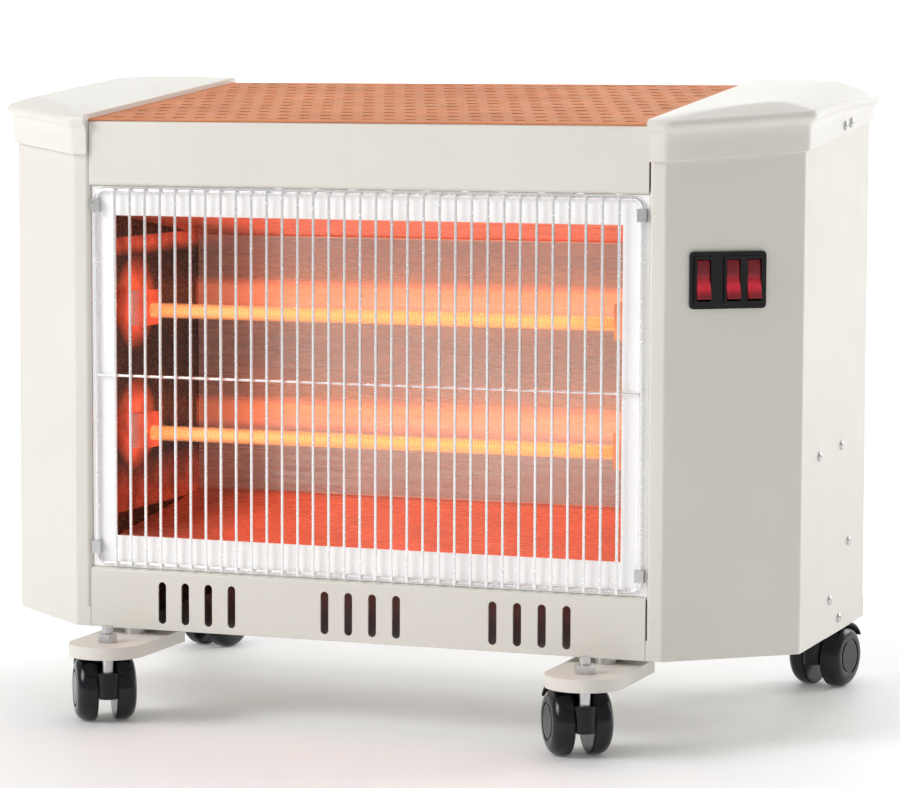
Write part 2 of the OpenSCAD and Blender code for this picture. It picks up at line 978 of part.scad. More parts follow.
// --- Tubes --------------------------------------------------------------------------------------

module quartz_tube(tube) {
    color(clear_glass, 0.5)
    placed()
    translate([0, tube[0], tube[1]])
    difference() {
        rod_x(tube_r, -tube_l / 2, tube_l / 2);
        rod_x(tube_r - tube_wall, -tube_l, tube_l);
    }
}

module upper_tube() {
    quartz_tube(TUBES[0]);
}

module lower_tube() {
    quartz_tube(TUBES[1]);
}

module top_tube() {
    quartz_tube(TUBES[2]);
}

module heating_coil(tube) {
    color(glow)
    placed()
    translate([0, tube[0], tube[1]])
    rod_x(coil_d / 2, -coil_l / 2, coil_l / 2);
}

module upper_coil() {
    heating_coil(TUBES[0]);
}

module lower_coil() {
    heating_coil(TUBES[1]);
}

module top_coil() {
    heating_coil(TUBES[2]);
}

// Ceramic block that carries a tube's end, with its neck through the end plate
module tube_holders() {
    color(porcelain)
    placed()
    both_sides()
    for (tube = TUBES)
        translate([0, tube[0], tube[1]])
        difference() {
            union() {
                translate([holder_x, -holder_d / 2, -holder_below])
                cube([holder_t, holder_d, holder_below + holder_above]);
                rod_x(neck_r, end_plate_x - 1, end_plate_x + bright_sheet + neck_l);
            }
            rod_x(tube_r + run_fit, holder_x - 1, tube_l / 2 + seam);
            rod_x(stud_r + run_fit, 0, stud_end);
        }
}

// Studs that carry the current into the coils, each with its nut
module tube_terminals() {
    color(brass)
    placed()
    both_sides()
    for (tube = TUBES)
        translate([0, tube[0], tube[1]]) {
            rod_x(stud_r, coil_l / 2, stud_end);
            translate([end_plate_x + bright_sheet + neck_l, 0, 0])
            rotate([0, 90, 0])
            cylinder(d = stud_nut_af / cos(30), h = stud_nut_t, $fn = 6);
        }
}

// --- Switches -----------------------------------------------------------------------------------

// Places of the rockers along the slanted face, from the bezel's centre
ROCKERS = [-single_s, pair_s - pair_pitch / 2, pair_s + pair_pitch / 2];
single_w = well_w + 2 * housing_edge;
double_w = pair_pitch + well_w + 2 * housing_edge;
housing_h = well_h + 2 * housing_end;

// Section of a housing's body, grown by a gap where it is a hole for that body
module housing_section(centre, width, grow) {
    translate([centre, 0])
    square([width + 2 * grow, housing_h + 2 * grow], center = true);
}

// Holes for both housings, through the face and to a depth
module switch_cutouts(depth) {
    on_slant(bezel_s, bezel_z)
    translate([0, depth, 0])
    rotate([90, 0, 0])
    linear_extrude(depth + bezel_t + 1) {
        housing_section(-single_s, single_w, seam);
        housing_section(pair_s, double_w, seam);
    }
}

module switch_bezel() {
    color(black)
    placed()
    difference() {
        on_slant(bezel_s, bezel_z)
        rotate([90, 0, 0])
        linear_extrude(bezel_t)
        rounded_rectangle(bezel_w, bezel_h, 3);
        switch_cutouts(sheet + 1);
    }
}

// Housing of one or more rockers: lip on the bezel, body through the face, a well for each
module switch_body(centre, width, rockers) {
    color(black)
    placed()
    on_slant(bezel_s, bezel_z)
    difference() {
        union() {
            translate([centre, -bezel_t, 0])
            rotate([90, 0, 0])
            linear_extrude(housing_lip)
            rounded_rectangle(width + 1.6, housing_h + 1.6, 1.5);
            translate([0, housing_d, 0])
            rotate([90, 0, 0])
            linear_extrude(housing_d + bezel_t + 0.5)
            housing_section(centre, width, 0);
        }
        for (s = rockers)
            translate([s, 0, 0]) {
                translate([-well_w / 2, -bezel_t - 2 * housing_lip, -well_h / 2])
                cube([well_w, well_d + bezel_t + 2 * housing_lip, well_h]);
                translate([0, pivot_y, 0])
                rod_x(
                    pivot_r + run_fit,
                    -well_w / 2 - pivot_l,
                    well_w / 2 + pivot_l
                );
            }
    }
}

module single_switch_body() {
    switch_body(-single_s, single_w, [ROCKERS[0]]);
}

module double_switch_body() {
    switch_body(pair_s, double_w, [ROCKERS[1], ROCKERS[2]]);
}

// A rocker with its upper end pressed in: a shallow V in front, tapered behind, pins at its sides
module rocker(s) {
    half = rocker_h / 2;
    proud = 5;
    valley = 3.4;
    stem_half = 4;
    depth = 6;
    color(lit_red)
    placed()
    on_slant(bezel_s + s, bezel_z)
    translate([0, pivot_y, 0])
    rotate([-rocker_tilt, 0, 0]) {
        across(-rocker_w / 2, rocker_w / 2)
        polygon([
            [-proud, -half],
            [0, -half],
            [depth, -stem_half],
            [depth, stem_half],
            [0, half],
            [-proud, half],
            [-valley, 0]
        ]);
        rod_x(
            pivot_r,
            -well_w / 2 - pivot_l + 0.1,
            well_w / 2 + pivot_l - 0.1
        );
    }
}

module rocker_1() {
    rocker(ROCKERS[0]);
}

module rocker_2() {
    rocker(ROCKERS[1]);
}

module rocker_3() {
    rocker(ROCKERS[2]);
}

// Blades at the back of the housings: supply, tube and lamp for each rocker
module switch_terminals() {
    color(brass)
    placed()
    for (s = ROCKERS, z = [-blade_pitch, 0, blade_pitch])
        on_slant(bezel_s + s, bezel_z + z)
        translate([-blade_w / 2, housing_d, -blade_t / 2])
        cube([blade_w, blade_l, blade_t]);
}

// --- Wiring -------------------------------------------------------------------------------------

module terminal_block() {
    color(porcelain)
    placed()
    difference() {
        translate([block_x, block_y, base_t])
        cube([block_l, block_w, block_h]);
        for (i = [0:2])
            translate([block_x + block_l * (i + 0.5) / 3, block_y, base_t + block_h / 2])
            rod_y(2.2, -1, block_w + 1);
    }
}

// Thermal cut-out, its disc on the reflector's back and its case behind
module thermal_cutout() {
    color(black)
    placed()
    translate([cutout_x, reflector_y + bright_sheet, cutout_z]) {
        rod_y(cutout_r, 0, cutout_h);
        translate([-cutout_ear_w / 2, 0, -cutout_ear_h / 2])
        cube([cutout_ear_w, 1, cutout_ear_h]);
        for (side = [-1, 1])
            translate([side * cutout_r / 2, cutout_h, 0])
            translate([-blade_t / 2, 0, -blade_w / 2])
            cube([blade_t, blade_l, blade_w]);
    }
}

// A route through corner points, each corner taken in a short curve
function eased(points, ease) =
    let (last = len(points) - 1)
    [
        points[0],
        for (i = [1:last - 1])
            let (into = points[i] - ease * unit(points[i] - points[i - 1]))
            let (out = points[i] + ease * unit(points[i + 1] - points[i]))
            for (t = [0, 0.25, 0.5, 0.75, 1])
                blend(blend(into, points[i], t), blend(points[i], out, t), t),
        points[last]
    ];

// Frames along a route from one of its points on: place, and two ways square to the route
function frames(route, i, way) =
    let (last = len(route) - 1)
    let (before = unit(route[max(i, 1)] - route[max(i, 1) - 1]))
    let (after = unit(route[min(i, last - 1) + 1] - route[min(i, last - 1)]))
    let (along = unit(before + after))
    let (side = unit(way - (way * along) * along))
    concat(
        [[route[i], side, cross(along, side)]],
        i == last ? [] : frames(route, i + 1, side)
    );

// A lead of insulated wire through a list of corner points
module lead(points) {
    sides = 8;
    route = eased(points, lead_ease);
    rings = frames(route, 0, [0.3, 0.5, 0.8]);
    count = len(rings);
    corners = [
        for (ring = rings, k = [0:sides - 1])
            let (a = 360 * k / sides)
            ring[0] + lead_r * (cos(a) * ring[1] + sin(a) * ring[2])
    ];
    walls = [
        for (i = [0:count - 2], k = [0:sides - 1])
            let (j = (k + 1) % sides)
            for (face = [
                [i * sides + k, (i + 1) * sides + k, (i + 1) * sides + j],
                [i * sides + k, (i + 1) * sides + j, i * sides + j]
            ])
                face
    ];
    ends = [
        [for (k = [0:sides - 1]) k],
        [for (k = [sides - 1:-1:0]) (count - 1) * sides + k]
    ];
    polyhedron(corners, concat(walls, ends));
}

// A point given along the right slanted face, behind it and up
function slant_point(s, y, z) = [
    half_bay + strip_w + s * cos(slant_angle) - y * sin(slant_angle),
    s * sin(slant_angle) + y * cos(slant_angle),
    z
];

// Switched leads to the right ends of the tubes, the supply to the switches, the links between
// the left ends of the tubes, and the return from the lowest along the back to the terminal block
module lead_wires() {
    stud_tip = stud_end + lead_gap;
    bend_x = stud_tip + 10;
    blade_tip = housing_d + blade_l + lead_gap;
    block_z = base_t + block_h / 2;
    supply_z = bezel_z - blade_pitch;
    riser_y = block_y - 36;
    back_run_y = back_y - seam - base_t - lead_r - lead_gap;
    supply_x = block_x + block_l / 6;
    return_x = block_x + block_l / 2;
    pair = lead_r + lead_gap;
    color(porcelain)
    placed() {
        for (i = [0:2])
            lead([
                [stud_tip, TUBES[i][0], TUBES[i][1]],
                [bend_x, TUBES[i][0], TUBES[i][1]],
                slant_point(bezel_s + ROCKERS[i], blade_tip + lead_reach, bezel_z),
                slant_point(bezel_s + ROCKERS[i], blade_tip, bezel_z)
            ]);
        lead([
            [supply_x, block_y - lead_gap, block_z],
            [supply_x, riser_y, block_z],
            [supply_x, riser_y, supply_z],
            slant_point(bezel_s + ROCKERS[1], blade_tip + lead_reach, supply_z),
            slant_point(bezel_s + ROCKERS[1], blade_tip, supply_z)
        ]);
        for (link = [[TUBES[2], TUBES[0], 0], [TUBES[0], TUBES[1], -pair]])
            lead([
                [-stud_tip, link[0][0], link[0][1] + link[2]],
                [-bend_x, link[0][0], link[0][1] + link[2]],
                [-bend_x, link[1][0], link[1][1] + pair],
                [-stud_tip, link[1][0], link[1][1] + pair]
            ]);
        lead([
            [-stud_tip, tube_y, TUBES[1][1] - pair],
            [-bend_x, tube_y, TUBES[1][1] - pair],
            [-bend_x, tube_y, block_z],
            [-bend_x, back_run_y, block_z],
            [return_x, back_run_y, block_z],
            [return_x, block_y + block_w + lead_gap, block_z]
        ]);
    }
}

// Rubber grommet that lines the cord's inlet
module cord_grommet() {
    outer_r = grommet_neck_r + 2.5;
    color(black)
    placed()
    translate([inlet_x, 0, inlet_z])
    difference() {
        union() {
            rod_y(outer_r, case_d, case_d + grommet_lip);
            rod_y(grommet_neck_r, back_y - grommet_lip, case_d + grommet_lip);
            rod_y(outer_r, back_y - grommet_lip, back_y);
        }
        rod_y(cord_d / 2, back_y - 2 * grommet_lip, case_d + 2 * grommet_lip);
    }
}

// --- Feet and casters -----------------------------------------------------------------------------

// A caster is drawn on the floor with its stem on the Z axis and its axle behind it, on -X
module at_front_right() {
    translate([front_stem_x, case_y - front_stem_out, 0])
    rotate([0, 0, front_turn])
    children();
}

module at_front_left() {
    translate([-front_stem_x, case_y - front_stem_out, 0])
    rotate([0, 0, front_turn])
    children();
}

module at_rear_right() {
    translate([rear_stem_x, case_y + rear_stem_y, 0])
    rotate([0, 0, rear_turn])
    children();
}

module at_rear_left() {
    translate([-rear_stem_x, case_y + rear_stem_y, 0])
    rotate([0, 0, rear_turn])
    children();
}

// Bracket with a round end at its stem and a turned-down rim, its length towards +Y, for a stem
// that stands so far out from the case
module bracket(stem_out) {
    top = caster_h + bracket_t;
    color(cream)
    difference() {
        union() {
            translate([0, 0, caster_h])
            linear_extrude(bracket_t)
            bracket_outline(0);
            translate([0, 0, top - bracket_h])
            linear_extrude(bracket_h)
            difference() {
                bracket_outline(0);
                bracket_outline(bracket_t);
            }
        }
        translate([0, 0, caster_h - 1])
        cylinder(r = stem_r + run_fit, h = 2 * bracket_t + 1);
        for (depth = foot_depths)
            translate([0, stem_out + depth, caster_h - 1])
            cylinder(r = foot_hole_r, h = 2 * bracket_t + 1);
    }
}

module bracket_outline(inset) {
    circle(bracket_r - inset);
    translate([inset - bracket_r, 0])
    square([2 * (bracket_r - inset), bracket_l - inset]);
}

module front_left_bracket() {
    translate([-front_stem_x, case_y - front_stem_out, 0])
    bracket(front_stem_out);
}

module front_right_bracket() {
    translate([front_stem_x, case_y - front_stem_out, 0])
    bracket(front_stem_out);
}

module rear_left_bracket() {
    translate([-rear_stem_x, case_y + rear_stem_y, 0])
    rotate([0, 0, 180])
    bracket(rear_stem_out);
}

module rear_right_bracket() {
    translate([rear_stem_x, case_y + rear_stem_y, 0])
    rotate([0, 0, 180])
    bracket(rear_stem_out);
}

module foot_spacers() {
    color(pale_zinc)
    placed()
    translate([0, 0, -spacer_h]) {
        at_front_feet() spacer();
        at_rear_feet() spacer();
    }
}

module spacer() {
    difference() {
        cylinder(d = spacer_d, h = spacer_h);
        translate([0, 0, -1])
        cylinder(r = foot_hole_r, h = spacer_h + 2);
    }
}

module foot_screws() {
    color(pale_zinc)
    placed() {
        at_front_feet() foot_screw();
        at_rear_feet() foot_screw();
    }
}

module foot_screw() {
    low = -spacer_h - bracket_t;
    translate([0, 0, low])
    cylinder(r = foot_screw_r, h = base_t + foot_nut_h + 1.5 - low);
    translate([0, 0, low - 2.4])
    cylinder(r = 3.8, h = 2.4);
}

// Nuts on the bracket bolts and on the caster stems
module nuts() {
    color(pale_zinc) {
        placed()
        translate([0, 0, base_t]) {
            at_front_feet() nut(foot_nut_af, foot_nut_h, foot_screw_r);
            at_rear_feet() nut(foot_nut_af, foot_nut_h, foot_screw_r);
        }
        translate([0, 0, caster_h + bracket_t]) {
            at_front_left() nut(caster_nut_af, caster_nut_h, stem_r);
            at_front_right() nut(caster_nut_af, caster_nut_h, stem_r);
            at_rear_left() nut(caster_nut_af, caster_nut_h, stem_r);
            at_rear_right() nut(caster_nut_af, caster_nut_h, stem_r);
        }
    }
}

module nut(across_flats, height, bolt_r) {
    difference() {
        cylinder(d = across_flats / cos(30), h = height, $fn = 6);
        translate([0, 0, -1])
        cylinder(r = bolt_r + run_fit, h = height + 2);
    }
}

module caster_stem() {
    translate([0, 0, stem_low])
    cylinder(r = stem_r, h = stem_top - stem_low);
    translate([0, 0, caster_h - stem_flange_t])
    cylinder(r = stem_flange_r, h = stem_flange_t);
}

module caster_stems() {
    color(steel) {
        at_front_left() caster_stem();
        at_front_right() caster_stem();
        at_rear_left() caster_stem();
        at_rear_right() caster_stem();
    }
}

// Wedge that keeps an arc of the hood, from its front edge over the top to its back edge
module hood_wedge() {
    far = 2 * hood_r;
    polygon([
        [0, 0],
        for (a = [62, 90, 118, 145]) far * [cos(a), sin(a)]
    ]);
}

// Hood over both wheels, its web between them and the boss round its stem
module hood() {
    color(black)
    difference() {
        union() {
            translate([-trail, hood_half_w, wheel_r])
            rotate([90, 0, 0])
            linear_extrude(2 * hood_half_w)
            intersection() {
                circle(hood_r);
                hood_wedge();
            }
            translate([-trail, web_half, wheel_r])
            rotate([90, 0, 0])
            linear_extrude(2 * web_half) {
                circle(axle_r + 5);
                translate([0, boss_low - wheel_r])
                square([trail, boss_top - boss_low]);
            }
            translate([0, 0, boss_low])
            cylinder(r = boss_r, h = boss_top - boss_low);
        }
        for (side = [-1, 1])
            translate([-trail, 0, wheel_r])
            rotate([side * -90, 0, 0])
            translate([0, 0, web_half])
            cylinder(r = wheel_r + hood_gap, h = wheel_w + wheel_gap);
        translate([-trail, 0, wheel_r])
        rod_y(axle_r + run_fit, -wheel_gap, wheel_gap);
        translate([0, 0, stem_low])
        cylinder(r = stem_r + run_fit, h = caster_h);
    }
}

module front_left_hood() {
    at_front_left() hood();
}

module front_right_hood() {
    at_front_right() hood();
}

module rear_left_hood() {
    at_rear_left() hood();
}

module rear_right_hood() {
    at_rear_right() hood();
}

module axle() {
    color(steel)
    translate([-trail, 0, wheel_r])
    rod_y(axle_r, -axle_end, axle_end);
}

module front_left_axle() {
    at_front_left() axle();
}

module front_right_axle() {
    at_front_right() axle();
}

module rear_left_axle() {
    at_rear_left() axle();
}

module rear_right_axle() {
    at_rear_right() axle();
}

// Wheel on the caster's +Y side (side = 1) or its -Y side: round shoulder, grooved face, blind bore
module wheel(side) {
    groove_r = wheel_r - 10;
    color(black)
    translate([-trail, 0, wheel_r])
    rotate([side * -90, 0, 0])
    translate([0, 0, wheel_gap / 2])
    difference() {
        rotate_extrude() {
            square([wheel_r - shoulder_r, wheel_w]);
            translate([0, 1])
            square([wheel_r, wheel_w - shoulder_r - 1]);
            square([wheel_r - 1, 2]);
            intersection() {
                translate([wheel_r - shoulder_r, wheel_w - shoulder_r])
                circle(shoulder_r);
                translate([wheel_r - shoulder_r, wheel_w - shoulder_r])
                square(shoulder_r + 1);
            }
        }
        translate([0, 0, -1])
        cylinder(r = axle_r + run_fit, h = axle_end - wheel_gap / 2 + 1 + seam);
        translate([0, 0, wheel_w - 0.8])
        rotate_extrude()
        translate([groove_r - 2, 0])
        square([2, 2]);
    }
}

module front_left_wheel_a() {
    at_front_left() wheel(1);
}

module front_left_wheel_b() {
    at_front_left() wheel(-1);
}

module front_right_wheel_a() {
    at_front_right() wheel(1);
}

module front_right_wheel_b() {
    at_front_right() wheel(-1);
}

module rear_left_wheel_a() {
    at_rear_left() wheel(1);
}

module rear_left_wheel_b() {
    at_rear_left() wheel(-1);
}

module rear_right_wheel_a() {
    at_rear_right() wheel(1);
}

module rear_right_wheel_b() {
    at_rear_right() wheel(-1);
}

// --- Screws ---------------------------------------------------------------------------------------

// Pan-head screw whose head seats at z = 0 and whose shank runs down
module screw() {
    translate([0, 0, -screw_l])
    cylinder(r = screw_r, h = screw_l);
    cylinder(r = screw_head_r, h = 0.8);
    translate([0, 0, 0.8])
    cylinder(r1 = screw_head_r, r2 = screw_head_r - 1.2, h = screw_head_h - 0.8);
}

module panel_screws() {
    color(pale_zinc)
    placed() {
        both_sides() {
            for (spot = SIDE_SCREWS)
                translate([side_x, spot[0], spot[1]])
                rotate([0, 90, 0])
                screw();
            for (spot = CAP_SCREWS)
                translate([side_x + skirt_out + cap_screw_lift, spot[0], spot[1]])
                rotate([0, 90, 0])
                screw();
        }
        for (spot = REAR_SCREWS)
            translate([spot[0], case_d, spot[1]])
            rotate([-90, 0, 0])
            screw();
    }
}

base_plate();
lower_fascia();
upper_fascia();
left_end_panel();
right_end_panel();
left_cap();
right_cap();
rear_panel();
top_grille();
front_guard();
guard_clips();
cavity_frame();
reflector();
left_end_plate();
right_end_plate();
top_reflector();
upper_tube();
lower_tube();
top_tube();
upper_coil();
lower_coil();
top_coil();
tube_holders();
tube_terminals();
switch_bezel();
single_switch_body();
double_switch_body();
rocker_1();
rocker_2();
rocker_3();
switch_terminals();
terminal_block();
thermal_cutout();
lead_wires();
cord_grommet();
front_left_bracket();
front_right_bracket();
rear_left_bracket();
rear_right_bracket();
foot_spacers();
caster_stems();
front_left_hood();
front_right_hood();
rear_left_hood();
rear_right_hood();
front_left_axle();
front_right_axle();
rear_left_axle();
rear_right_axle();
front_left_wheel_a();
front_left_wheel_b();
front_right_wheel_a();
front_right_wheel_b();
rear_left_wheel_a();
rear_left_wheel_b();
rear_right_wheel_a();
rear_right_wheel_b();
panel_screws();
foot_screws();
nuts();
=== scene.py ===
"""Visual model of a free-standing quartz tube heater: camera, light, materials and dressed pieces.

Lengths are in metres in the frame's own axes: +X to the right seen from the front, +Y to the back,
+Z up. The case helpers take millimetres in the case's own coordinates, as the solids were drawn.
"""
import bpy
import bmesh
import json
import math
from mathutils import Matrix, Vector


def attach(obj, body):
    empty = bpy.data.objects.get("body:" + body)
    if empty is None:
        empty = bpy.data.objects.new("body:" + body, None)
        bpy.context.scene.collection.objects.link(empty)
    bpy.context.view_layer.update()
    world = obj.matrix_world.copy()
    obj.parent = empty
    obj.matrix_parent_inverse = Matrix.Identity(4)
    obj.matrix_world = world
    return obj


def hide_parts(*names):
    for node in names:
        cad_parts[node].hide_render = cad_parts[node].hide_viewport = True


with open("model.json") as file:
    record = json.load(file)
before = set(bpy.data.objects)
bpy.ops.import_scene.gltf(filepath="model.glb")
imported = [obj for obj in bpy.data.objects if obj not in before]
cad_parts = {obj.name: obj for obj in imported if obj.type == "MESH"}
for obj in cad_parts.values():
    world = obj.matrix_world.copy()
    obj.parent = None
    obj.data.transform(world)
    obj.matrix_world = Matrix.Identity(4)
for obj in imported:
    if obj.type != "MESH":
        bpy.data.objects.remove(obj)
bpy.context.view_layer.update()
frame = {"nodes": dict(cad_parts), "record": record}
NODES = frame["nodes"]

# Case dimensions in millimetres, the same as in the solids
MM = 0.001
CASE_Y = -139.090823
CLEAR_H = 65.0
CASE_D = 262.0
CASE_H = 375.5
TOP_RISE = 26.0
HALF_BAY = 215.0
STRIP_W = 11.7
SLANT_W = 81.4
SLANT_D = 68.9
SIDE_X = HALF_BAY + STRIP_W + SLANT_W
SLANT = math.atan2(SLANT_D, SLANT_W)
SEAM = 0.3

# Heating cavity: the liner behind its white face, the end plates, and the reflector's back
LINER_Y = 5.0
PLATE_X = 195.3
BACK_Y = 150.0
BACK_LOW = 87.0
BACK_TOP = 286.0
TRAY_LOW = 320.0
TUBES = {"upper_coil": (38, 233.5), "lower_coil": (38, 142.0), "top_coil": (130, 352.0)}
COIL_HALF = 180.0
COIL_R = 3.5

# Rocker switches, along the right slanted face
ROCKER_W = 10.0
ROCKER_H = 27.4
PIVOT_Y = 1.0
BEZEL_S = 47.4
BEZEL_Z = 267.0
TILT = math.radians(-8)
ROCKERS = {"rocker_1": -19.1, "rocker_2": 3.5, "rocker_3": 19.5}


def frame_y(y):
    """A depth in the case, in millimetres, as the frame's own Y in metres."""
    return (y + CASE_Y) * MM


def frame_z(z):
    """A height in the case, in millimetres, as the frame's own Z in metres."""
    return (z + CLEAR_H) * MM


def at_case(x, y, z):
    """A point of the case, from its own coordinates in millimetres to the frame in metres."""
    return Vector((x, y + CASE_Y, z + CLEAR_H)) * MM


def top_z(y):
    """Height of the case's sloping top at a depth."""
    return CASE_H + TOP_RISE * y / CASE_D


# ------------------------------------------------------------------ materials

COIL_GLOW = 0.75
TUBE_GLOW = 0.25
GRILLE_GLOW = 0.12


class Graph:
    """A node material built line by line around one Principled shader."""

    def __init__(self, name):
        self.material = bpy.data.materials.new(name)
        self.material.use_nodes = True
        self.tree = self.material.node_tree
        self.tree.nodes.clear()
        self.output = self.tree.nodes.new("ShaderNodeOutputMaterial")
        self.shader = self.tree.nodes.new("ShaderNodeBsdfPrincipled")
        self.link(self.shader.outputs[0], self.output.inputs["Surface"])
        self.place = self.tree.nodes.new("ShaderNodeTexCoord").outputs["Object"]

    def link(self, source, target):
        self.tree.links.new(source, target)

    def put(self, socket, value):
        """Sets a socket to a number or colour, or links it to another node's output."""
        if isinstance(value, bpy.types.NodeSocket):
            self.link(value, socket)
        else:
            socket.default_value = value

    def set(self, **values):
        for name, value in values.items():
            self.put(self.shader.inputs[name.replace("_", " ")], value)

    def noise(self, scale, detail=3.0, rough=0.5, stretch=(1, 1, 1)):
        mapping = self.tree.nodes.new("ShaderNodeMapping")
        mapping.inputs["Scale"].default_value = stretch
        self.link(self.place, mapping.inputs["Vector"])
        node = self.tree.nodes.new("ShaderNodeTexNoise")
        node.inputs["Scale"].default_value = scale
        node.inputs["Detail"].default_value = detail
        node.inputs["Roughness"].default_value = rough
        self.link(mapping.outputs[0], node.inputs["Vector"])
        return node.outputs["Fac"]

    def ramp(self, source, low, high, start=0.3, end=0.7):
        """Numbers from low to high, or colours, as the source goes from start to end."""
        if isinstance(low, (int, float)):
            node = self.tree.nodes.new("ShaderNodeMapRange")
            node.inputs["From Min"].default_value = start
            node.inputs["From Max"].default_value = end
            node.inputs["To Min"].default_value = low
            node.inputs["To Max"].default_value = high
            self.link(source, node.inputs["Value"])
            return node.outputs["Result"]
        node = self.tree.nodes.new("ShaderNodeValToRGB")
        node.color_ramp.elements[0].position = start
        node.color_ramp.elements[1].position = end
        node.color_ramp.elements[0].color = (*low, 1)
        node.color_ramp.elements[1].color = (*high, 1)
        self.link(source, node.inputs["Fac"])
        return node.outputs["Color"]

    def math(self, kind, a, b=0.0):
        node = self.tree.nodes.new("ShaderNodeMath")
        node.operation = kind
        self.put(node.inputs[0], a)
        self.put(node.inputs[1], b)
        return node.outputs[0]

    def times(self, first, *others):
        for other in others:
            first = self.math("MULTIPLY", first, other)
        return first

    def rise(self, source, start, end):
        """0 up to the start, and 1 from the end on."""
        return self.ramp(source, 0.0, 1.0, start, end)

    def fall(self, source, start, end):
        """1 up to the start, and 0 from the end on."""
        return self.ramp(source, 1.0, 0.0, start, end)

    def distance(self, a, b):
        """Length of the diagonal over two offsets."""
        return self.math("SQRT", self.math("ADD", self.times(a, a), self.times(b, b)))

    def mix(self, share, a, b):
        node = self.tree.nodes.new("ShaderNodeMix")
        node.data_type = "RGBA"
        self.put(node.inputs[0], share)
        for socket, value in ((node.inputs[6], a), (node.inputs[7], b)):
            self.put(socket, (*value, 1) if isinstance(value, tuple) else value)
        return node.outputs[2]

    def coordinate(self, axis):
        node = self.tree.nodes.new("ShaderNodeSeparateXYZ")
        self.link(self.place, node.inputs[0])
        return node.outputs[axis]

    def facing_up(self):
        """The upward share of the surface's own direction."""
        geometry = self.tree.nodes.new("ShaderNodeNewGeometry")
        node = self.tree.nodes.new("ShaderNodeSeparateXYZ")
        self.link(geometry.outputs["Normal"], node.inputs[0])
        return node.outputs[2]

    def edges(self, radius):
        """About 1 within a radius of a sharp edge, and 0 on flat faces."""
        bevel = self.tree.nodes.new("ShaderNodeBevel")
        bevel.samples = 4
        bevel.inputs["Radius"].default_value = radius
        geometry = self.tree.nodes.new("ShaderNodeNewGeometry")
        dot = self.tree.nodes.new("ShaderNodeVectorMath")
        dot.operation = "DOT_PRODUCT"
        self.link(bevel.outputs[0], dot.inputs[0])
        self.link(geometry.outputs["Normal"], dot.inputs[1])
        return self.ramp(dot.outputs["Value"], 1.0, 0.0, 0.75, 0.99)

    def bump(self, height, strength, distance, edge=0.0):
        node = self.tree.nodes.new("ShaderNodeBump")
        node.inputs["Strength"].default_value = strength
        node.inputs["Distance"].default_value = distance
        self.link(height, node.inputs["Height"])
        if edge:
            bevel = self.tree.nodes.new("ShaderNodeBevel")
            bevel.samples = 4
            bevel.inputs["Radius"].default_value = edge
            self.link(bevel.outputs[0], node.inputs["Normal"])
        self.link(node.outputs[0], self.shader.inputs["Normal"])


def paint(name, light, dark, rough=0.42):
    """Powder coat: orange peel, faint cloudiness, edges painted paler as a highlight and a little
    smoother.
    """
    g = Graph(name)
    cloud = g.ramp(g.noise(9, 4), dark, light)
    # Painted highlight: every sharp edge is painted paler, and made a little smoother
    edge_highlight = g.edges(0.0012)
    pale = tuple(min(1.0, c * 1.07 + 0.01) for c in light)
    g.set(Base_Color=g.mix(g.times(edge_highlight, 0.5), cloud, pale))
    peel = g.ramp(g.noise(60, 2), rough - 0.05, rough + 0.06)
    g.set(Roughness=g.math("SUBTRACT", peel, g.times(edge_highlight, 0.08)))
    g.set(Specular_IOR_Level=0.45)
    g.bump(g.noise(1100, 2, 0.55), 0.16, 0.0002, 0.0006)
    return g.material


def plastic(name, light, dark, rough, grain, strength, edge=0.0004, shine=0.5):
    """Moulded plastic or rubber with a fine grain."""
    g = Graph(name)
    g.set(Specular_IOR_Level=shine)
    g.set(Base_Color=g.ramp(g.noise(14, 3), dark, light))
    g.set(Roughness=g.ramp(g.noise(90, 3), rough - 0.05, rough + 0.07))
    g.bump(g.noise(grain, 2), strength, 0.0002, edge)
    return g.material


def metal(name, light, dark, rough, stretch, grain, strength, edge=0.0002, share=1.0):
    """Metal with drawn or rolled lines along the short axis of the stretch."""
    g = Graph(name)
    lines = g.noise(grain, 4, 0.6, stretch)
    g.set(Metallic=share)
    g.set(Base_Color=g.ramp(g.noise(12, 4), dark, light))
    g.set(Roughness=g.ramp(lines, rough - 0.06, rough + 0.08))
    g.bump(lines, strength, 0.0001, edge)
    return g.material


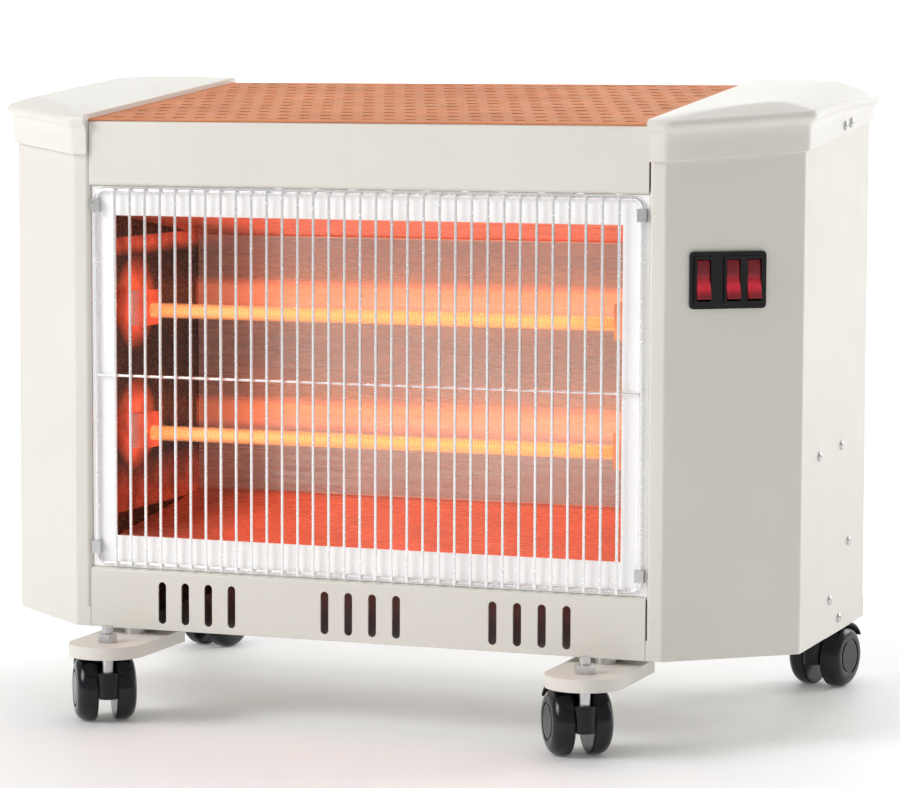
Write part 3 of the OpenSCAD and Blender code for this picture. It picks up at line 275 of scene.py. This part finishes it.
def bright_metal():
    """Rolled bright sheet: white in front with a faint painted white glow; inside the cavity duller,
    with the tubes' red glow painted on, and its hidden outer faces painted near-black as shade.
    """
    g = Graph("bright_metal")
    lines = g.noise(320, 3, 0.5, (0.03, 1, 1))
    x = g.coordinate(0)
    y = g.coordinate(1)
    z = g.coordinate(2)
    facing = g.facing_up()

    # Where a point lies: behind the white face, on an end plate, a shelf, the back or the tray
    inside = g.rise(y, frame_y(LINER_Y + 0.2), frame_y(LINER_Y + 0.8))
    plate = g.rise(g.math("ABSOLUTE", x), (PLATE_X - 0.2) * MM, (PLATE_X - 0.1) * MM)
    in_end = g.times(inside, plate)
    upper = g.times(
        g.rise(z, frame_z(BACK_TOP - 3), frame_z(BACK_TOP + 1)),
        g.fall(facing, -0.6, -0.1),
    )
    lower = g.times(
        g.fall(z, frame_z(BACK_LOW - 1), frame_z(BACK_LOW + 3)),
        g.rise(facing, 0.1, 0.6),
    )
    shelf = g.times(g.math("MAXIMUM", upper, lower), g.math("SUBTRACT", inside, in_end))
    rear = g.times(
        g.rise(y, frame_y(BACK_Y - 4), frame_y(BACK_Y - 2)),
        g.fall(y, frame_y(BACK_Y + 0.3), frame_y(BACK_Y + 0.7)),
    )
    tray = g.rise(z, frame_z(TRAY_LOW), frame_z(TRAY_LOW + 2))
    seen = g.math("MAXIMUM", g.math("MAXIMUM", shelf, rear), tray)

    face = g.ramp(g.noise(12, 4), (0.91, 0.91, 0.905), (0.96, 0.96, 0.955))
    back = g.ramp(g.noise(12, 4), (0.58, 0.47, 0.41), (0.66, 0.55, 0.48))
    # Shelves: red-brown colour painted on as the tubes' glow
    shelf_painted_glow = g.ramp(g.noise(16, 4), (0.34, 0.14, 0.10), (0.44, 0.18, 0.13))
    end = g.ramp(g.noise(30, 4), (0.030, 0.022, 0.020), (0.075, 0.045, 0.038))
    # Painted shade: faces outside the shelves, back and tray are painted near-black, for the dark
    # inside the case
    sheet = g.mix(seen, (0.07, 0.06, 0.055), g.mix(shelf, back, shelf_painted_glow))
    g.set(Base_Color=g.mix(in_end, g.mix(inside, face, sheet), end))
    g.set(Metallic=g.ramp(inside, 0.0, 0.5, 0, 1))
    duller = g.math("SUBTRACT", g.ramp(lines, 0.20, 0.34), 0.42)
    g.set(Roughness=g.math("ADD", 0.42, g.times(inside, duller)))

    # Painted glow of the tubes, by how near a point lies to a tube: round its end, and along the band
    # that it would light
    near = 0.0
    band = 0.0
    for name in ("upper_coil", "lower_coil"):
        tube_y, tube_z = TUBES[name]
        depth = g.math("SUBTRACT", y, frame_y(tube_y))
        height = g.math("SUBTRACT", z, frame_z(tube_z + 6))
        near = g.math("MAXIMUM", near, g.fall(g.distance(depth, height), 0.010, 0.036))
        off = g.math("ABSOLUTE", height)
        band = g.math("MAXIMUM", band, g.fall(off, 0.006, 0.014))
    band = g.times(band, rear, g.ramp(x, 0.30, 0.62, -0.19, -0.15))
    # Painted glow along the top and bottom rims of the end plates
    high_rim = g.times(
        g.ramp(z, 0.0, 0.45, frame_z(BACK_TOP - 12), frame_z(BACK_TOP - 4)),
        g.fall(z, frame_z(BACK_TOP + 2), frame_z(BACK_TOP + 3)),
    )
    low_rim = g.times(
        g.ramp(z, 0.28, 0.0, frame_z(BACK_LOW + 11), frame_z(BACK_LOW + 37)),
        g.rise(z, frame_z(BACK_LOW - 3), frame_z(BACK_LOW - 2)),
    )
    rims = g.math("ADD", high_rim, low_rim)
    patch = g.times(near, in_end, g.ramp(g.noise(45, 3), 0.6, 1.7))
    patch = g.math("MAXIMUM", patch, g.times(rims, in_end, g.ramp(g.noise(60, 2), 0.5, 1.5)))
    # Colour of the painted tube glow: red, more orange along the band
    painted_tube_glow = g.mix(band, (0.90, 0.085, 0.035), (1.0, 0.24, 0.07))
    g.set(Emission_Color=g.mix(inside, (1.0, 1.0, 1.0), painted_tube_glow))
    # Painted glow on the shelves, cloudy and fainter towards the left end
    lit_from = g.ramp(x, 0.14, 1.0, -0.165, -0.115)
    cloud = g.times(g.ramp(g.noise(25, 3), 0.42, 0.62), lit_from)
    painted_glow_strength = g.math("ADD", g.times(shelf, cloud), g.math("ADD", patch, band))
    # The white face gets a faint painted white glow to brighten it; inside, the painted tube glow
    g.set(Emission_Strength=g.math("ADD", painted_glow_strength, g.ramp(inside, 0.12, 0.0, 0, 1)))
    g.bump(lines, 0.04, 0.0001, 0.0002)
    return g.material


def porcelain():
    """Unglazed ceramic, with the tubes' glow painted on where they enter it: red on the left, orange on
    the right.
    """
    g = Graph("porcelain")
    pale = g.ramp(g.noise(14, 3), (0.72, 0.68, 0.60), (0.80, 0.76, 0.68))
    g.set(Roughness=g.ramp(g.noise(90, 3), 0.57, 0.69))
    x = g.coordinate(0)
    # Painted glow near the end plates: darker red colour and red-orange emission
    painted_tube_glow = g.fall(g.math("ABSOLUTE", x), 0.186, (PLATE_X + 0.3) * MM)
    g.set(Base_Color=g.mix(painted_tube_glow, pale, (0.30, 0.08, 0.05)))
    g.set(Emission_Color=g.mix(g.rise(x, 0.10, 0.15), (1.0, 0.11, 0.05), (1.0, 0.34, 0.13)))
    g.set(Emission_Strength=g.times(painted_tube_glow, g.ramp(g.noise(50, 3), 0.35, 0.9)))
    g.bump(g.noise(420, 2), 0.22, 0.0002, 0.0004)
    return g.material


def quartz():
    """Clear tube that lets the glow through, with a thin shine of its own."""
    g = Graph("quartz")
    g.set(Base_Color=(1.0, 0.93, 0.84, 1), Roughness=0.06, IOR=1.46, Transmission_Weight=1.0)
    clear = g.tree.nodes.new("ShaderNodeBsdfTransparent")
    clear.inputs[0].default_value = (1.0, 0.95, 0.88, 1)
    glow = g.tree.nodes.new("ShaderNodeEmission")
    warm = g.ramp(g.noise(30, 2), (1.0, 0.36, 0.14), (1.0, 0.42, 0.18))
    g.link(warm, glow.inputs[0])
    glow.inputs[1].default_value = TUBE_GLOW
    add = g.tree.nodes.new("ShaderNodeAddShader")
    g.link(clear.outputs[0], add.inputs[0])
    g.link(glow.outputs[0], add.inputs[1])
    rim = g.tree.nodes.new("ShaderNodeLayerWeight")
    rim.inputs[0].default_value = 0.25
    mix = g.tree.nodes.new("ShaderNodeMixShader")
    g.link(g.times(rim.outputs["Facing"], 0.45), mix.inputs[0])
    g.link(add.outputs[0], mix.inputs[1])
    g.link(g.shader.outputs[0], mix.inputs[2])
    g.link(mix.outputs[0], g.output.inputs["Surface"])
    return g.material


def hot_coil():
    """Glowing wire, a little cooler towards its ends."""
    g = Graph("hot_coil")
    x = g.math("ABSOLUTE", g.coordinate(0))
    along = g.math("ADD", x, g.times(g.noise(40, 2), 0.01))
    g.set(Base_Color=(0.25, 0.12, 0.06, 1), Roughness=0.6)
    g.set(Emission_Color=g.ramp(along, (1.0, 0.38, 0.19), (1.0, 0.26, 0.09), 0.150, 0.184))
    g.set(Emission_Strength=g.ramp(along, COIL_GLOW, COIL_GLOW * 0.3, 0.150, 0.184))
    return g.material


def lit_plastic():
    """Translucent red rocker, glowing red, with a band on its lower half painted brighter as a
    highlight.
    """
    g = Graph("lit_red")
    share = g.rise(g.coordinate(2), frame_z(BEZEL_Z + ROCKER_H / 2), frame_z(BEZEL_Z - ROCKER_H / 2))
    # Painted highlight: a band on the lower half, brighter in colour and glow, where light from above
    # catches the tilted face
    highlight_band = g.times(g.rise(share, 0.30, 0.62), g.ramp(share, 1.0, 0.10, 0.72, 0.90))
    cloud = g.noise(260, 2)
    g.set(Base_Color=g.mix(highlight_band, (0.16, 0.012, 0.016), (0.36, 0.02, 0.035)))
    g.set(Roughness=g.ramp(cloud, 0.26, 0.38), Specular_IOR_Level=0.4)
    g.set(Emission_Color=g.mix(highlight_band, (0.5, 0.004, 0.010), (1.0, 0.03, 0.055)))
    g.set(Emission_Strength=g.times(g.ramp(highlight_band, 0.06, 0.26, 0, 1), g.ramp(cloud, 0.85, 1.15)))
    g.bump(cloud, 0.06, 0.0002)
    return g.material


def grille_sheet():
    """Copper-orange perforated sheet with a cloudy warm tint, edges painted paler as a highlight, and a
    painted orange glow for the tubes' light from below.
    """
    g = Graph("warm_grille")
    tint = g.ramp(g.noise(5, 3), (0.44, 0.145, 0.055), (0.58, 0.235, 0.10))
    # Painted highlight: edges painted a paler orange
    edge_highlight = g.edges(0.0010)
    g.set(Base_Color=g.mix(g.times(edge_highlight, 0.45), tint, (0.78, 0.42, 0.24)))
    g.set(Metallic=0.0, Specular_IOR_Level=0.18)
    g.set(Roughness=g.ramp(g.noise(70, 3), 0.50, 0.64))
    # Painted glow: the sheet emits orange, standing in for the tubes' light coming up through it
    g.set(Emission_Color=(1.0, 0.26, 0.06, 1))
    g.set(Emission_Strength=g.ramp(g.noise(22, 3), GRILLE_GLOW * 0.6, GRILLE_GLOW * 1.5))
    g.bump(g.noise(900, 2), 0.12, 0.0002)
    return g.material


def braid():
    """Woven glass sleeve of the leads."""
    g = Graph("lead_sleeve")
    weave = g.tree.nodes.new("ShaderNodeTexWave")
    weave.wave_type = "BANDS"
    weave.bands_direction = "DIAGONAL"
    weave.inputs["Scale"].default_value = 420
    weave.inputs["Distortion"].default_value = 1.5
    g.link(g.place, weave.inputs["Vector"])
    g.set(Base_Color=g.ramp(weave.outputs["Fac"], (0.60, 0.56, 0.47), (0.82, 0.79, 0.70), 0.2, 0.8))
    g.set(Roughness=0.85)
    g.bump(weave.outputs["Fac"], 0.4, 0.0003)
    return g.material


CREAM = (0.805, 0.776, 0.715)
CREAM_DARK = (0.780, 0.748, 0.686)
EVEN = (1, 1, 1)
MATERIALS = {
    "cream_paint": paint("cream_paint", CREAM, CREAM_DARK),
    "cream_plastic": plastic(
        "cream_plastic", (0.84, 0.818, 0.762), (0.81, 0.785, 0.727), 0.38, 700, 0.10, 0.0008
    ),
    "warm_grille": grille_sheet(),
    "chrome_wire": metal(
        "chrome_wire", (0.95, 0.95, 0.95), (0.89, 0.89, 0.90), 0.22, EVEN, 300, 0.015, share=0.72
    ),
    "zinc": metal("zinc", (0.66, 0.66, 0.65), (0.52, 0.52, 0.52), 0.30, EVEN, 260, 0.10),
    "bright_metal": bright_metal(),
    "quartz": quartz(),
    "hot_coil": hot_coil(),
    "porcelain": porcelain(),
    "brass": metal("brass", (0.80, 0.62, 0.30), (0.66, 0.49, 0.22), 0.30, EVEN, 240, 0.10),
    "black_plastic": plastic(
        "black_plastic", (0.010, 0.010, 0.011), (0.006, 0.006, 0.007), 0.32, 520, 0.10, shine=0.32
    ),
    "lit_red": lit_plastic(),
    "lead_sleeve": braid(),
    "black_rubber": plastic(
        "black_rubber", (0.030, 0.030, 0.030), (0.018, 0.018, 0.018), 0.62, 600, 0.25
    ),
    "wheel_plastic": plastic(
        "wheel_plastic", (0.010, 0.011, 0.014), (0.006, 0.007, 0.009), 0.17, 260, 0.05, 0.0010, 0.36
    ),
}

SLOT_OF = {row["node"]: row["material_slot"] for row in frame["record"]["subparts"]}
for name, obj in NODES.items():
    material = MATERIALS[SLOT_OF[name]]
    if not obj.material_slots:
        obj.data.materials.append(material)
    for cell in obj.material_slots:
        cell.material = material


# ------------------------------------------------------------------ mesh helpers

def new_piece(name, points, faces, slot, body, smooth=None):
    """A piece that rides on a body, with the finish of a slot, smooth below an angle in degrees."""
    mesh = bpy.data.meshes.new(name)
    mesh.from_pydata([tuple(p) for p in points], [], faces)
    mesh.validate()
    work = bmesh.new()
    work.from_mesh(mesh)
    bmesh.ops.recalc_face_normals(work, faces=work.faces)
    work.to_mesh(mesh)
    work.free()
    if smooth is not None:
        mesh.shade_smooth()
        mesh.set_sharp_from_angle(angle=math.radians(smooth))
    mesh.materials.append(MATERIALS[slot])
    obj = bpy.data.objects.new(name, mesh)
    bpy.context.scene.collection.objects.link(obj)
    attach(obj, body)
    return obj


# ------------------------------------------------------------------ caps

# The walls stand CAP_IN off the case, and CAP_EDGE off the seam beside the grille
CAP_CORNER_R = 4.0
CAP_ROOF = 3.0
CAP_IN = 0.25
CAP_EDGE = 2.4
SKIRT_OUT = 3.0
SKIRT_DROP = 26.0
EDGE_DROP = 1.7
RIM_OUT = 8.2
RIM_LIP = 3.2
RIM_H = 3.5
RIM_DROOP = 12.0
CROWN_H = 9.5
CORE_X = SIDE_X - 24
CORE_FRONT = 62.0
CORE_BACK = CASE_D - 62


def strip_corner(inset):
    """Corner of the flat strip and the slanted face, moved in by an inset."""
    return Vector((HALF_BAY + STRIP_W - inset * math.tan(SLANT / 2), inset))


def side_corner(inset):
    """Corner of the slanted face and the side, moved in by an inset."""
    return Vector((SIDE_X - inset, SLANT_D + inset * math.tan((math.pi / 2 - SLANT) / 2)))


def cap_arc(corner, start, end, steps):
    """A rounded corner of the outline, between two ways out in degrees."""
    rows = []
    for k in range(steps + 1):
        a = math.radians(start + (end - start) * k / steps)
        way = Vector((math.cos(a), math.sin(a)))
        rows.append((corner + CAP_CORNER_R * way, way, 0))
    return rows


def cap_run(a, b, steps):
    """The straight run between two points of the outline, without its ends."""
    return [(a[0].lerp(b[0], k / steps), a[1], 0) for k in range(1, steps)]


def cap_plan():
    """The cap's outline: place, way out of the case, and 1 or 2 beside the grille."""
    slant_out = math.degrees(SLANT) - 90
    front = (Vector((HALF_BAY + SEAM, 0)), Vector((0, -1)), 1)
    strip = cap_arc(strip_corner(CAP_CORNER_R), -90, slant_out, 6)
    side = cap_arc(side_corner(CAP_CORNER_R), slant_out, 0, 8)
    back = cap_arc(Vector((SIDE_X - CAP_CORNER_R, CASE_D - CAP_CORNER_R)), 0, 90, 12)
    rear = (Vector((HALF_BAY + SEAM, CASE_D)), Vector((0, 1)), 1)
    edge = [
        (Vector((HALF_BAY + SEAM, CASE_D - 3 + (6 - CASE_D) * k / 16)), Vector((0, 0)), 2)
        for k in range(17)
    ]
    return (
        [front] + strip + cap_run(strip[-1], side[0], 10) + side + cap_run(side[-1], back[0], 16)
        + back + cap_run(back[-1], rear, 8) + [rear] + edge
    )


PLAN = cap_plan()


def rim_rise(p):
    """Height of the cap's rim over the case's top, which droops towards the outer rear corner."""
    u = max(0.0, min(1.0, (p.x - HALF_BAY) / (SIDE_X - HALF_BAY)))
    v = max(0.0, min(1.0, p.y / CASE_D))
    return RIM_H - RIM_DROOP * u ** 2 * v ** 3


def outset(place, way, kind, out, inward):
    """A point of the outline moved out of the case, or from the grille towards the side."""
    return place + way * out + (Vector((inward, 0)) if kind else Vector((0, 0)))


def skirt_ring(share, out, inward):
    """A ring of the skirt, from its lower edge at share 0 to the rim at share 1."""
    ring = []
    for place, way, kind in PLAN:
        q = outset(place, way, kind, out, inward)
        low = -EDGE_DROP if kind == 2 else -SKIRT_DROP
        ring.append((q.x, q.y, top_z(q.y) + low + (rim_rise(place) - low) * share))
    return ring


def crown_ring(share, out, inward, drop):
    """A ring of the crown, from the rim at share 0 to its ridge at share 1."""
    ring = []
    for place, way, kind in PLAN:
        rim = outset(place, way, kind, out, inward)
        ridge = Vector((CORE_X, max(CORE_FRONT, min(CORE_BACK, rim.y))))
        q = rim.lerp(ridge, share)
        rise = rim_rise(place)
        rise += (CROWN_H - rise) * math.sin(math.radians(90 * share))
        ring.append((q.x, q.y, top_z(q.y) + rise - drop))
    return ring


def cap(name, side):
    """Moulded cap: flared skirt, rounded lip and a low dome, hollow below."""
    rings = [skirt_ring(0, CAP_IN, CAP_EDGE)]
    rings += [skirt_ring(0, SKIRT_OUT - 0.3, 0), skirt_ring(0.012, SKIRT_OUT, 0)]
    rings += [skirt_ring(s, SKIRT_OUT + 0.8 * s / 0.62, 0) for s in (0.2, 0.4, 0.62)]
    rings += [skirt_ring(s, out, 0) for s, out in ((0.70, 4.9), (0.76, 7.0), (0.80, 7.9))]
    for k in range(7):
        a = math.radians(90 * k / 6)
        rings.append(skirt_ring(0.86 + 0.14 * math.sin(a), RIM_OUT - RIM_LIP * (1 - math.cos(a)), 0))
    outer = [0.04, 0.09, 0.16, 0.25, 0.35, 0.46, 0.58, 0.70, 0.82, 0.92, 1.0]
    rings += [crown_ring(s, RIM_OUT - RIM_LIP, 0, 0) for s in outer]
    rings += [crown_ring(s, CAP_IN, CAP_EDGE, CAP_ROOF) for s in (1.0, 0.8, 0.6, 0.4, 0.2, 0.0)]
    count = len(PLAN)
    points = [Vector((side * x, y + CASE_Y, z + CLEAR_H)) * MM for ring in rings for x, y, z in ring]
    faces = []
    for level in range(len(rings)):
        after = (level + 1) % len(rings)
        for i in range(count):
            j = (i + 1) % count
            faces.append((level * count + i, level * count + j, after * count + j, after * count + i))
    obj = new_piece(name, points, faces, "cream_plastic", "case")
    work = bmesh.new()
    work.from_mesh(obj.data)
    bmesh.ops.remove_doubles(work, verts=work.verts, dist=0.00002)
    bmesh.ops.recalc_face_normals(work, faces=work.faces)
    work.to_mesh(obj.data)
    work.free()
    obj.data.shade_smooth()
    obj.data.set_sharp_from_angle(angle=math.radians(38))
    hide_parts(name.replace("_dressed", ""))


cap("left_cap_dressed", -1)
cap("right_cap_dressed", 1)


# ------------------------------------------------------------------ heating coils

def coil(name, y, z):
    """One close-wound wire from end to end of the tube, on the same outer diameter as its solid."""
    wire_r = 0.55
    radius = COIL_R - wire_r
    turns = 170
    steps = 14
    sides = 6
    total = turns * steps
    points = []
    for k in range(total + 1):
        a = 2 * math.pi * k / steps
        along = -COIL_HALF + wire_r + (2 * COIL_HALF - 2 * wire_r) * k / total
        centre = Vector((along, y + radius * math.cos(a), z + radius * math.sin(a)))
        out = Vector((0, math.cos(a), math.sin(a)))
        for s in range(sides):
            b = 2 * math.pi * s / sides
            p = centre + out * (wire_r * math.cos(b)) + Vector((wire_r * math.sin(b), 0, 0))
            points.append(at_case(*p))
    faces = []
    for k in range(total):
        for s in range(sides):
            t = (s + 1) % sides
            faces.append((k * sides + s, k * sides + t, (k + 1) * sides + t, (k + 1) * sides + s))
    faces.append(tuple(range(sides)))
    faces.append(tuple(total * sides + s for s in range(sides)))
    obj = new_piece(name + "_wound", points, faces, "hot_coil", "case", 70)
    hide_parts(name)


for coil_name, (coil_y, coil_z) in TUBES.items():
    coil(coil_name, coil_y, coil_z)


# ------------------------------------------------------------------ rockers and screws

def at_slant(s, y, z):
    """A point given along the right slanted face, behind it and up, in millimetres."""
    return at_case(
        HALF_BAY + STRIP_W + s * math.cos(SLANT) - y * math.sin(SLANT),
        s * math.sin(SLANT) + y * math.cos(SLANT),
        z,
    )


def modified(obj, kind, **values):
    """Makes a modifier's result the piece's own mesh."""
    change = obj.modifiers.new(kind.lower(), kind)
    for name, value in values.items():
        setattr(change, name, value)
    done = bpy.data.meshes.new_from_object(obj.evaluated_get(bpy.context.evaluated_depsgraph_get()))
    obj.modifiers.remove(change)
    obj.data = done


def rocker(name, s):
    """Rocker with rounded edges and two dished halves, its upper end pressed in."""
    half = ROCKER_H / 2
    middle_h = 3.4
    horn_h = 1.6
    dish = 0.35
    front = []
    for k in range(17):
        z = -half + ROCKER_H * k / 16
        share = abs(z) / half
        front.append((-middle_h - horn_h * share - dish * math.sin(math.pi * share), z))
    profile = [(0, -half)] + front + [(0, half), (6, 4), (6, -4)]
    points = []
    for x in (-ROCKER_W / 2, ROCKER_W / 2):
        for y, z in profile:
            yr = y * math.cos(TILT) - z * math.sin(TILT)
            zr = y * math.sin(TILT) + z * math.cos(TILT)
            points.append(at_slant(BEZEL_S + s + x, PIVOT_Y + yr, BEZEL_Z + zr))
    count = len(profile)
    faces = [tuple(range(count)), tuple(range(2 * count - 1, count - 1, -1))]
    faces += [(i, (i + 1) % count, count + (i + 1) % count, count + i) for i in range(count)]
    obj = new_piece(name + "_moulded", points, faces, "lit_red", name)
    modified(obj, "BEVEL", width=0.0006, segments=3, limit_method="ANGLE", angle_limit=math.radians(35))
    obj.data.shade_smooth()
    obj.data.set_sharp_from_angle(angle=math.radians(50))
    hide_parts(name)


for rocker_name, rocker_s in ROCKERS.items():
    rocker(rocker_name, rocker_s)

# Places of the screws: depth and height on the sides and caps, X and height on the back
SIDE_SCREWS = [(118, 136), (183, 138), (208, 64), (153, 27), (181, 10)]
CAP_SCREWS = [(169, 373), (187, 375)]
CAP_SCREW_OUT = 3.55
REAR_SCREWS = [(x, z) for x in (-SIDE_X + 9, SIDE_X - 9) for z in (30, 187.75, 340.5)]
REAR_SCREWS += [(-120, 7), (120, 7)]


def lathe(profile, steps):
    """Points and faces of a turned solid, from its radii and heights in millimetres."""
    points = []
    faces = []
    for r, z in profile:
        for k in range(steps):
            a = 2 * math.pi * k / steps
            points.append(Vector((r * math.cos(a), r * math.sin(a), z)) * MM)
    for i in range(len(profile) - 1):
        for k in range(steps):
            j = (k + 1) % steps
            faces.append((i * steps + k, i * steps + j, (i + 1) * steps + j, (i + 1) * steps + k))
    faces.append(tuple(range(steps - 1, -1, -1)))
    faces.append(tuple((len(profile) - 1) * steps + k for k in range(steps)))
    return points, faces


def screw_mesh():
    """Pan head with a cross recess, seated at z = 0, and its threaded shank below."""
    thread_r = 1.5
    root_r = 1.2
    pitch = 0.85
    slot = 0.36
    profile = [(0.3, -8), (0.9, -7.2)]
    for k in range(8):
        profile += [(thread_r, -7.0 + pitch * k), (root_r, -6.6 + pitch * k)]
    profile += [(thread_r, -0.1), (3.5, -0.02), (3.5, 0.7), (3.38, 1.05), (3.05, 1.45)]
    profile += [(2.5, 1.75), (1.8, 1.92), (0.9, 2.0), (0.05, 2.0)]
    points, faces = lathe(profile, 28)
    head = bpy.data.meshes.new("screw")
    head.from_pydata([tuple(p) for p in points], [], faces)
    cutter = bpy.data.meshes.new("cross")
    corners = []
    cells = []
    box = ((3, 2, 1, 0), (4, 5, 6, 7), (0, 1, 5, 4), (1, 2, 6, 5), (2, 3, 7, 6), (3, 0, 4, 7))
    for turn in (0, 90):
        start = len(corners)
        c, s = math.cos(math.radians(turn)), math.sin(math.radians(turn))
        for z, length in ((0.55, 0.7), (2.4, 1.95)):
            for x, y in ((-length, -slot), (length, -slot), (length, slot), (-length, slot)):
                corners.append((Vector((x * c - y * s, x * s + y * c, z)) * MM)[:])
        cells += [tuple(start + i for i in cell) for cell in box]
    cutter.from_pydata(corners, [], cells)
    head_obj = bpy.data.objects.new("screw", head)
    cut_obj = bpy.data.objects.new("cross", cutter)
    for obj in (head_obj, cut_obj):
        bpy.context.scene.collection.objects.link(obj)
    bpy.context.view_layer.update()
    modified(head_obj, "BOOLEAN", object=cut_obj, operation="DIFFERENCE", solver="EXACT", use_self=True)
    made = head_obj.data
    bpy.data.objects.remove(head_obj)
    bpy.data.objects.remove(cut_obj)
    return made


def panel_screws():
    """All the panels' and caps' screws as one piece, each turned its own way."""
    shape = screw_mesh()
    places = []
    for side in (-1, 1):
        turn = Matrix.Rotation(side * math.pi / 2, 4, "Y")
        for y, z in SIDE_SCREWS:
            places.append((at_case(side * SIDE_X, y, z), turn))
        for y, z in CAP_SCREWS:
            places.append((at_case(side * (SIDE_X + CAP_SCREW_OUT), y, z), turn))
    for x, z in REAR_SCREWS:
        places.append((at_case(x, CASE_D, z), Matrix.Rotation(-math.pi / 2, 4, "X")))
    work = bmesh.new()
    for i, (place, turn) in enumerate(places):
        copy = shape.copy()
        copy.transform(Matrix.Translation(place) @ turn @ Matrix.Rotation(1.1 * i, 4, "Z"))
        work.from_mesh(copy)
        bpy.data.meshes.remove(copy)
    mesh = bpy.data.meshes.new("panel_screws_cross")
    work.to_mesh(mesh)
    work.free()
    mesh.shade_smooth()
    mesh.set_sharp_from_angle(angle=math.radians(35))
    mesh.materials.clear()
    mesh.materials.append(MATERIALS["zinc"])
    obj = bpy.data.objects.new("panel_screws_cross", mesh)
    bpy.context.scene.collection.objects.link(obj)
    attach(obj, "case")
    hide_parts("panel_screws")


panel_screws()


# ------------------------------------------------------------------ stage, light and camera

def area_light(name, place, target, size, power, colour=(1, 1, 1)):
    lamp = bpy.data.lights.new(name, "AREA")
    lamp.shape = "RECTANGLE"
    lamp.size, lamp.size_y = size
    lamp.energy = power
    lamp.color = colour
    obj = bpy.data.objects.new(name, lamp)
    obj.location = place
    obj.rotation_euler = (Vector(target) - Vector(place)).to_track_quat("-Z", "Y").to_euler()
    bpy.context.scene.collection.objects.link(obj)
    return obj


def backdrop():
    """Pale floor that sweeps up into a wall far behind, a little brighter away from the part."""
    bend_y = 5.0
    bend_r = 2.0
    line = [(-6.0, 0.0), (bend_y, 0.0)]
    for k in range(1, 11):
        a = math.radians(9 * k)
        line.append((bend_y + bend_r * math.sin(a), bend_r - bend_r * math.cos(a)))
    line += [(7.0, 7.0)]
    points = [(x, y, z) for y, z in line for x in (-9.0, 9.0)]
    faces = [(2 * i, 2 * i + 1, 2 * i + 3, 2 * i + 2) for i in range(len(line) - 1)]
    mesh = bpy.data.meshes.new("floor")
    mesh.from_pydata(points, [], faces)
    mesh.shade_smooth()
    g = Graph("floor_pale")
    g.set(Base_Color=g.ramp(g.noise(2, 3), (0.92, 0.92, 0.92), (0.95, 0.95, 0.95)))
    g.set(Roughness=g.ramp(g.noise(30, 2), 0.55, 0.65))
    away = g.distance(g.coordinate(0), g.coordinate(1))
    g.set(Emission_Color=(1.0, 1.0, 1.0, 1))
    g.set(Emission_Strength=g.ramp(away, 0.07, 0.26, 0.25, 0.80))
    mesh.materials.append(g.material)
    obj = bpy.data.objects.new("floor", mesh)
    bpy.context.scene.collection.objects.link(obj)


backdrop()
world = bpy.data.worlds.new("studio")
world.use_nodes = True
world.node_tree.nodes["Background"].inputs[0].default_value = (1.0, 1.0, 1.0, 1)
world.node_tree.nodes["Background"].inputs[1].default_value = 0.36
bpy.context.scene.world = world

# Glow of the tubes on the cavity's sheets, thrown back, up and down, by the top tube only up
GLOW_POWER = 0.05
GLOW_SIZE = (0.36, 0.008)
GLOW_TINT = (1.0, 0.30, 0.07)
FRONT_WAYS = ((0, 1, 0.15), (0, 0.1, 1), (0, 0.1, -1))
TOP_WAYS = ((0, 0.1, 1),)
for tube_name, (tube_y, tube_z) in TUBES.items():
    middle = at_case(0, tube_y, tube_z)
    for way in TOP_WAYS if tube_name == "top_coil" else FRONT_WAYS:
        target = middle + Vector(way)
        glow = area_light(tube_name + "_glow", middle, target, GLOW_SIZE, GLOW_POWER, GLOW_TINT)
        glow.visible_camera = False

# Studio lights: name, place, target, size and watts
STUDIO = (
    ("key_left_front", (-2.6, -2.4, 2.3), (0, 0, 0.25), (1.8, 1.8), 84),
    ("side_right_back", (2.4, 2.3, 1.5), (0, 0, 0.25), (1.4, 1.6), 34),
    ("top_soft", (0.2, 0.6, 3.0), (0, 0, 0.2), (2.4, 2.4), 19),
    ("backdrop_wash", (0, 2.4, 2.4), (0, 6.4, 1.6), (5.0, 1.6), 250),
)
for row in STUDIO:
    area_light(*row)

# Camera fitted to the photograph
CAMERA_AT = at_case(926.9, -2327.0, 410.8)
CAMERA_WAY = Vector((-0.3446, 0.9342, -0.0915)).normalized()
CAMERA_ROLL = math.radians(0.21)
CAMERA_LENS = 140.28
level_right = CAMERA_WAY.cross(Vector((0, 0, 1))).normalized()
level_up = level_right.cross(CAMERA_WAY)
right = level_right * math.cos(CAMERA_ROLL) + level_up * math.sin(CAMERA_ROLL)
up = right.cross(CAMERA_WAY)
camera_data = bpy.data.cameras.new("camera")
camera_data.sensor_fit = "HORIZONTAL"
camera_data.sensor_width = 36.0
camera_data.lens = CAMERA_LENS
camera_data.clip_end = 60.0
camera = bpy.data.objects.new("camera", camera_data)
camera.matrix_world = Matrix((
    (right.x, up.x, -CAMERA_WAY.x, CAMERA_AT.x),
    (right.y, up.y, -CAMERA_WAY.y, CAMERA_AT.y),
    (right.z, up.z, -CAMERA_WAY.z, CAMERA_AT.z),
    (0, 0, 0, 1),
))
bpy.context.scene.collection.objects.link(camera)
bpy.context.scene.camera = camera
bpy.context.scene.view_settings.view_transform = "Standard"
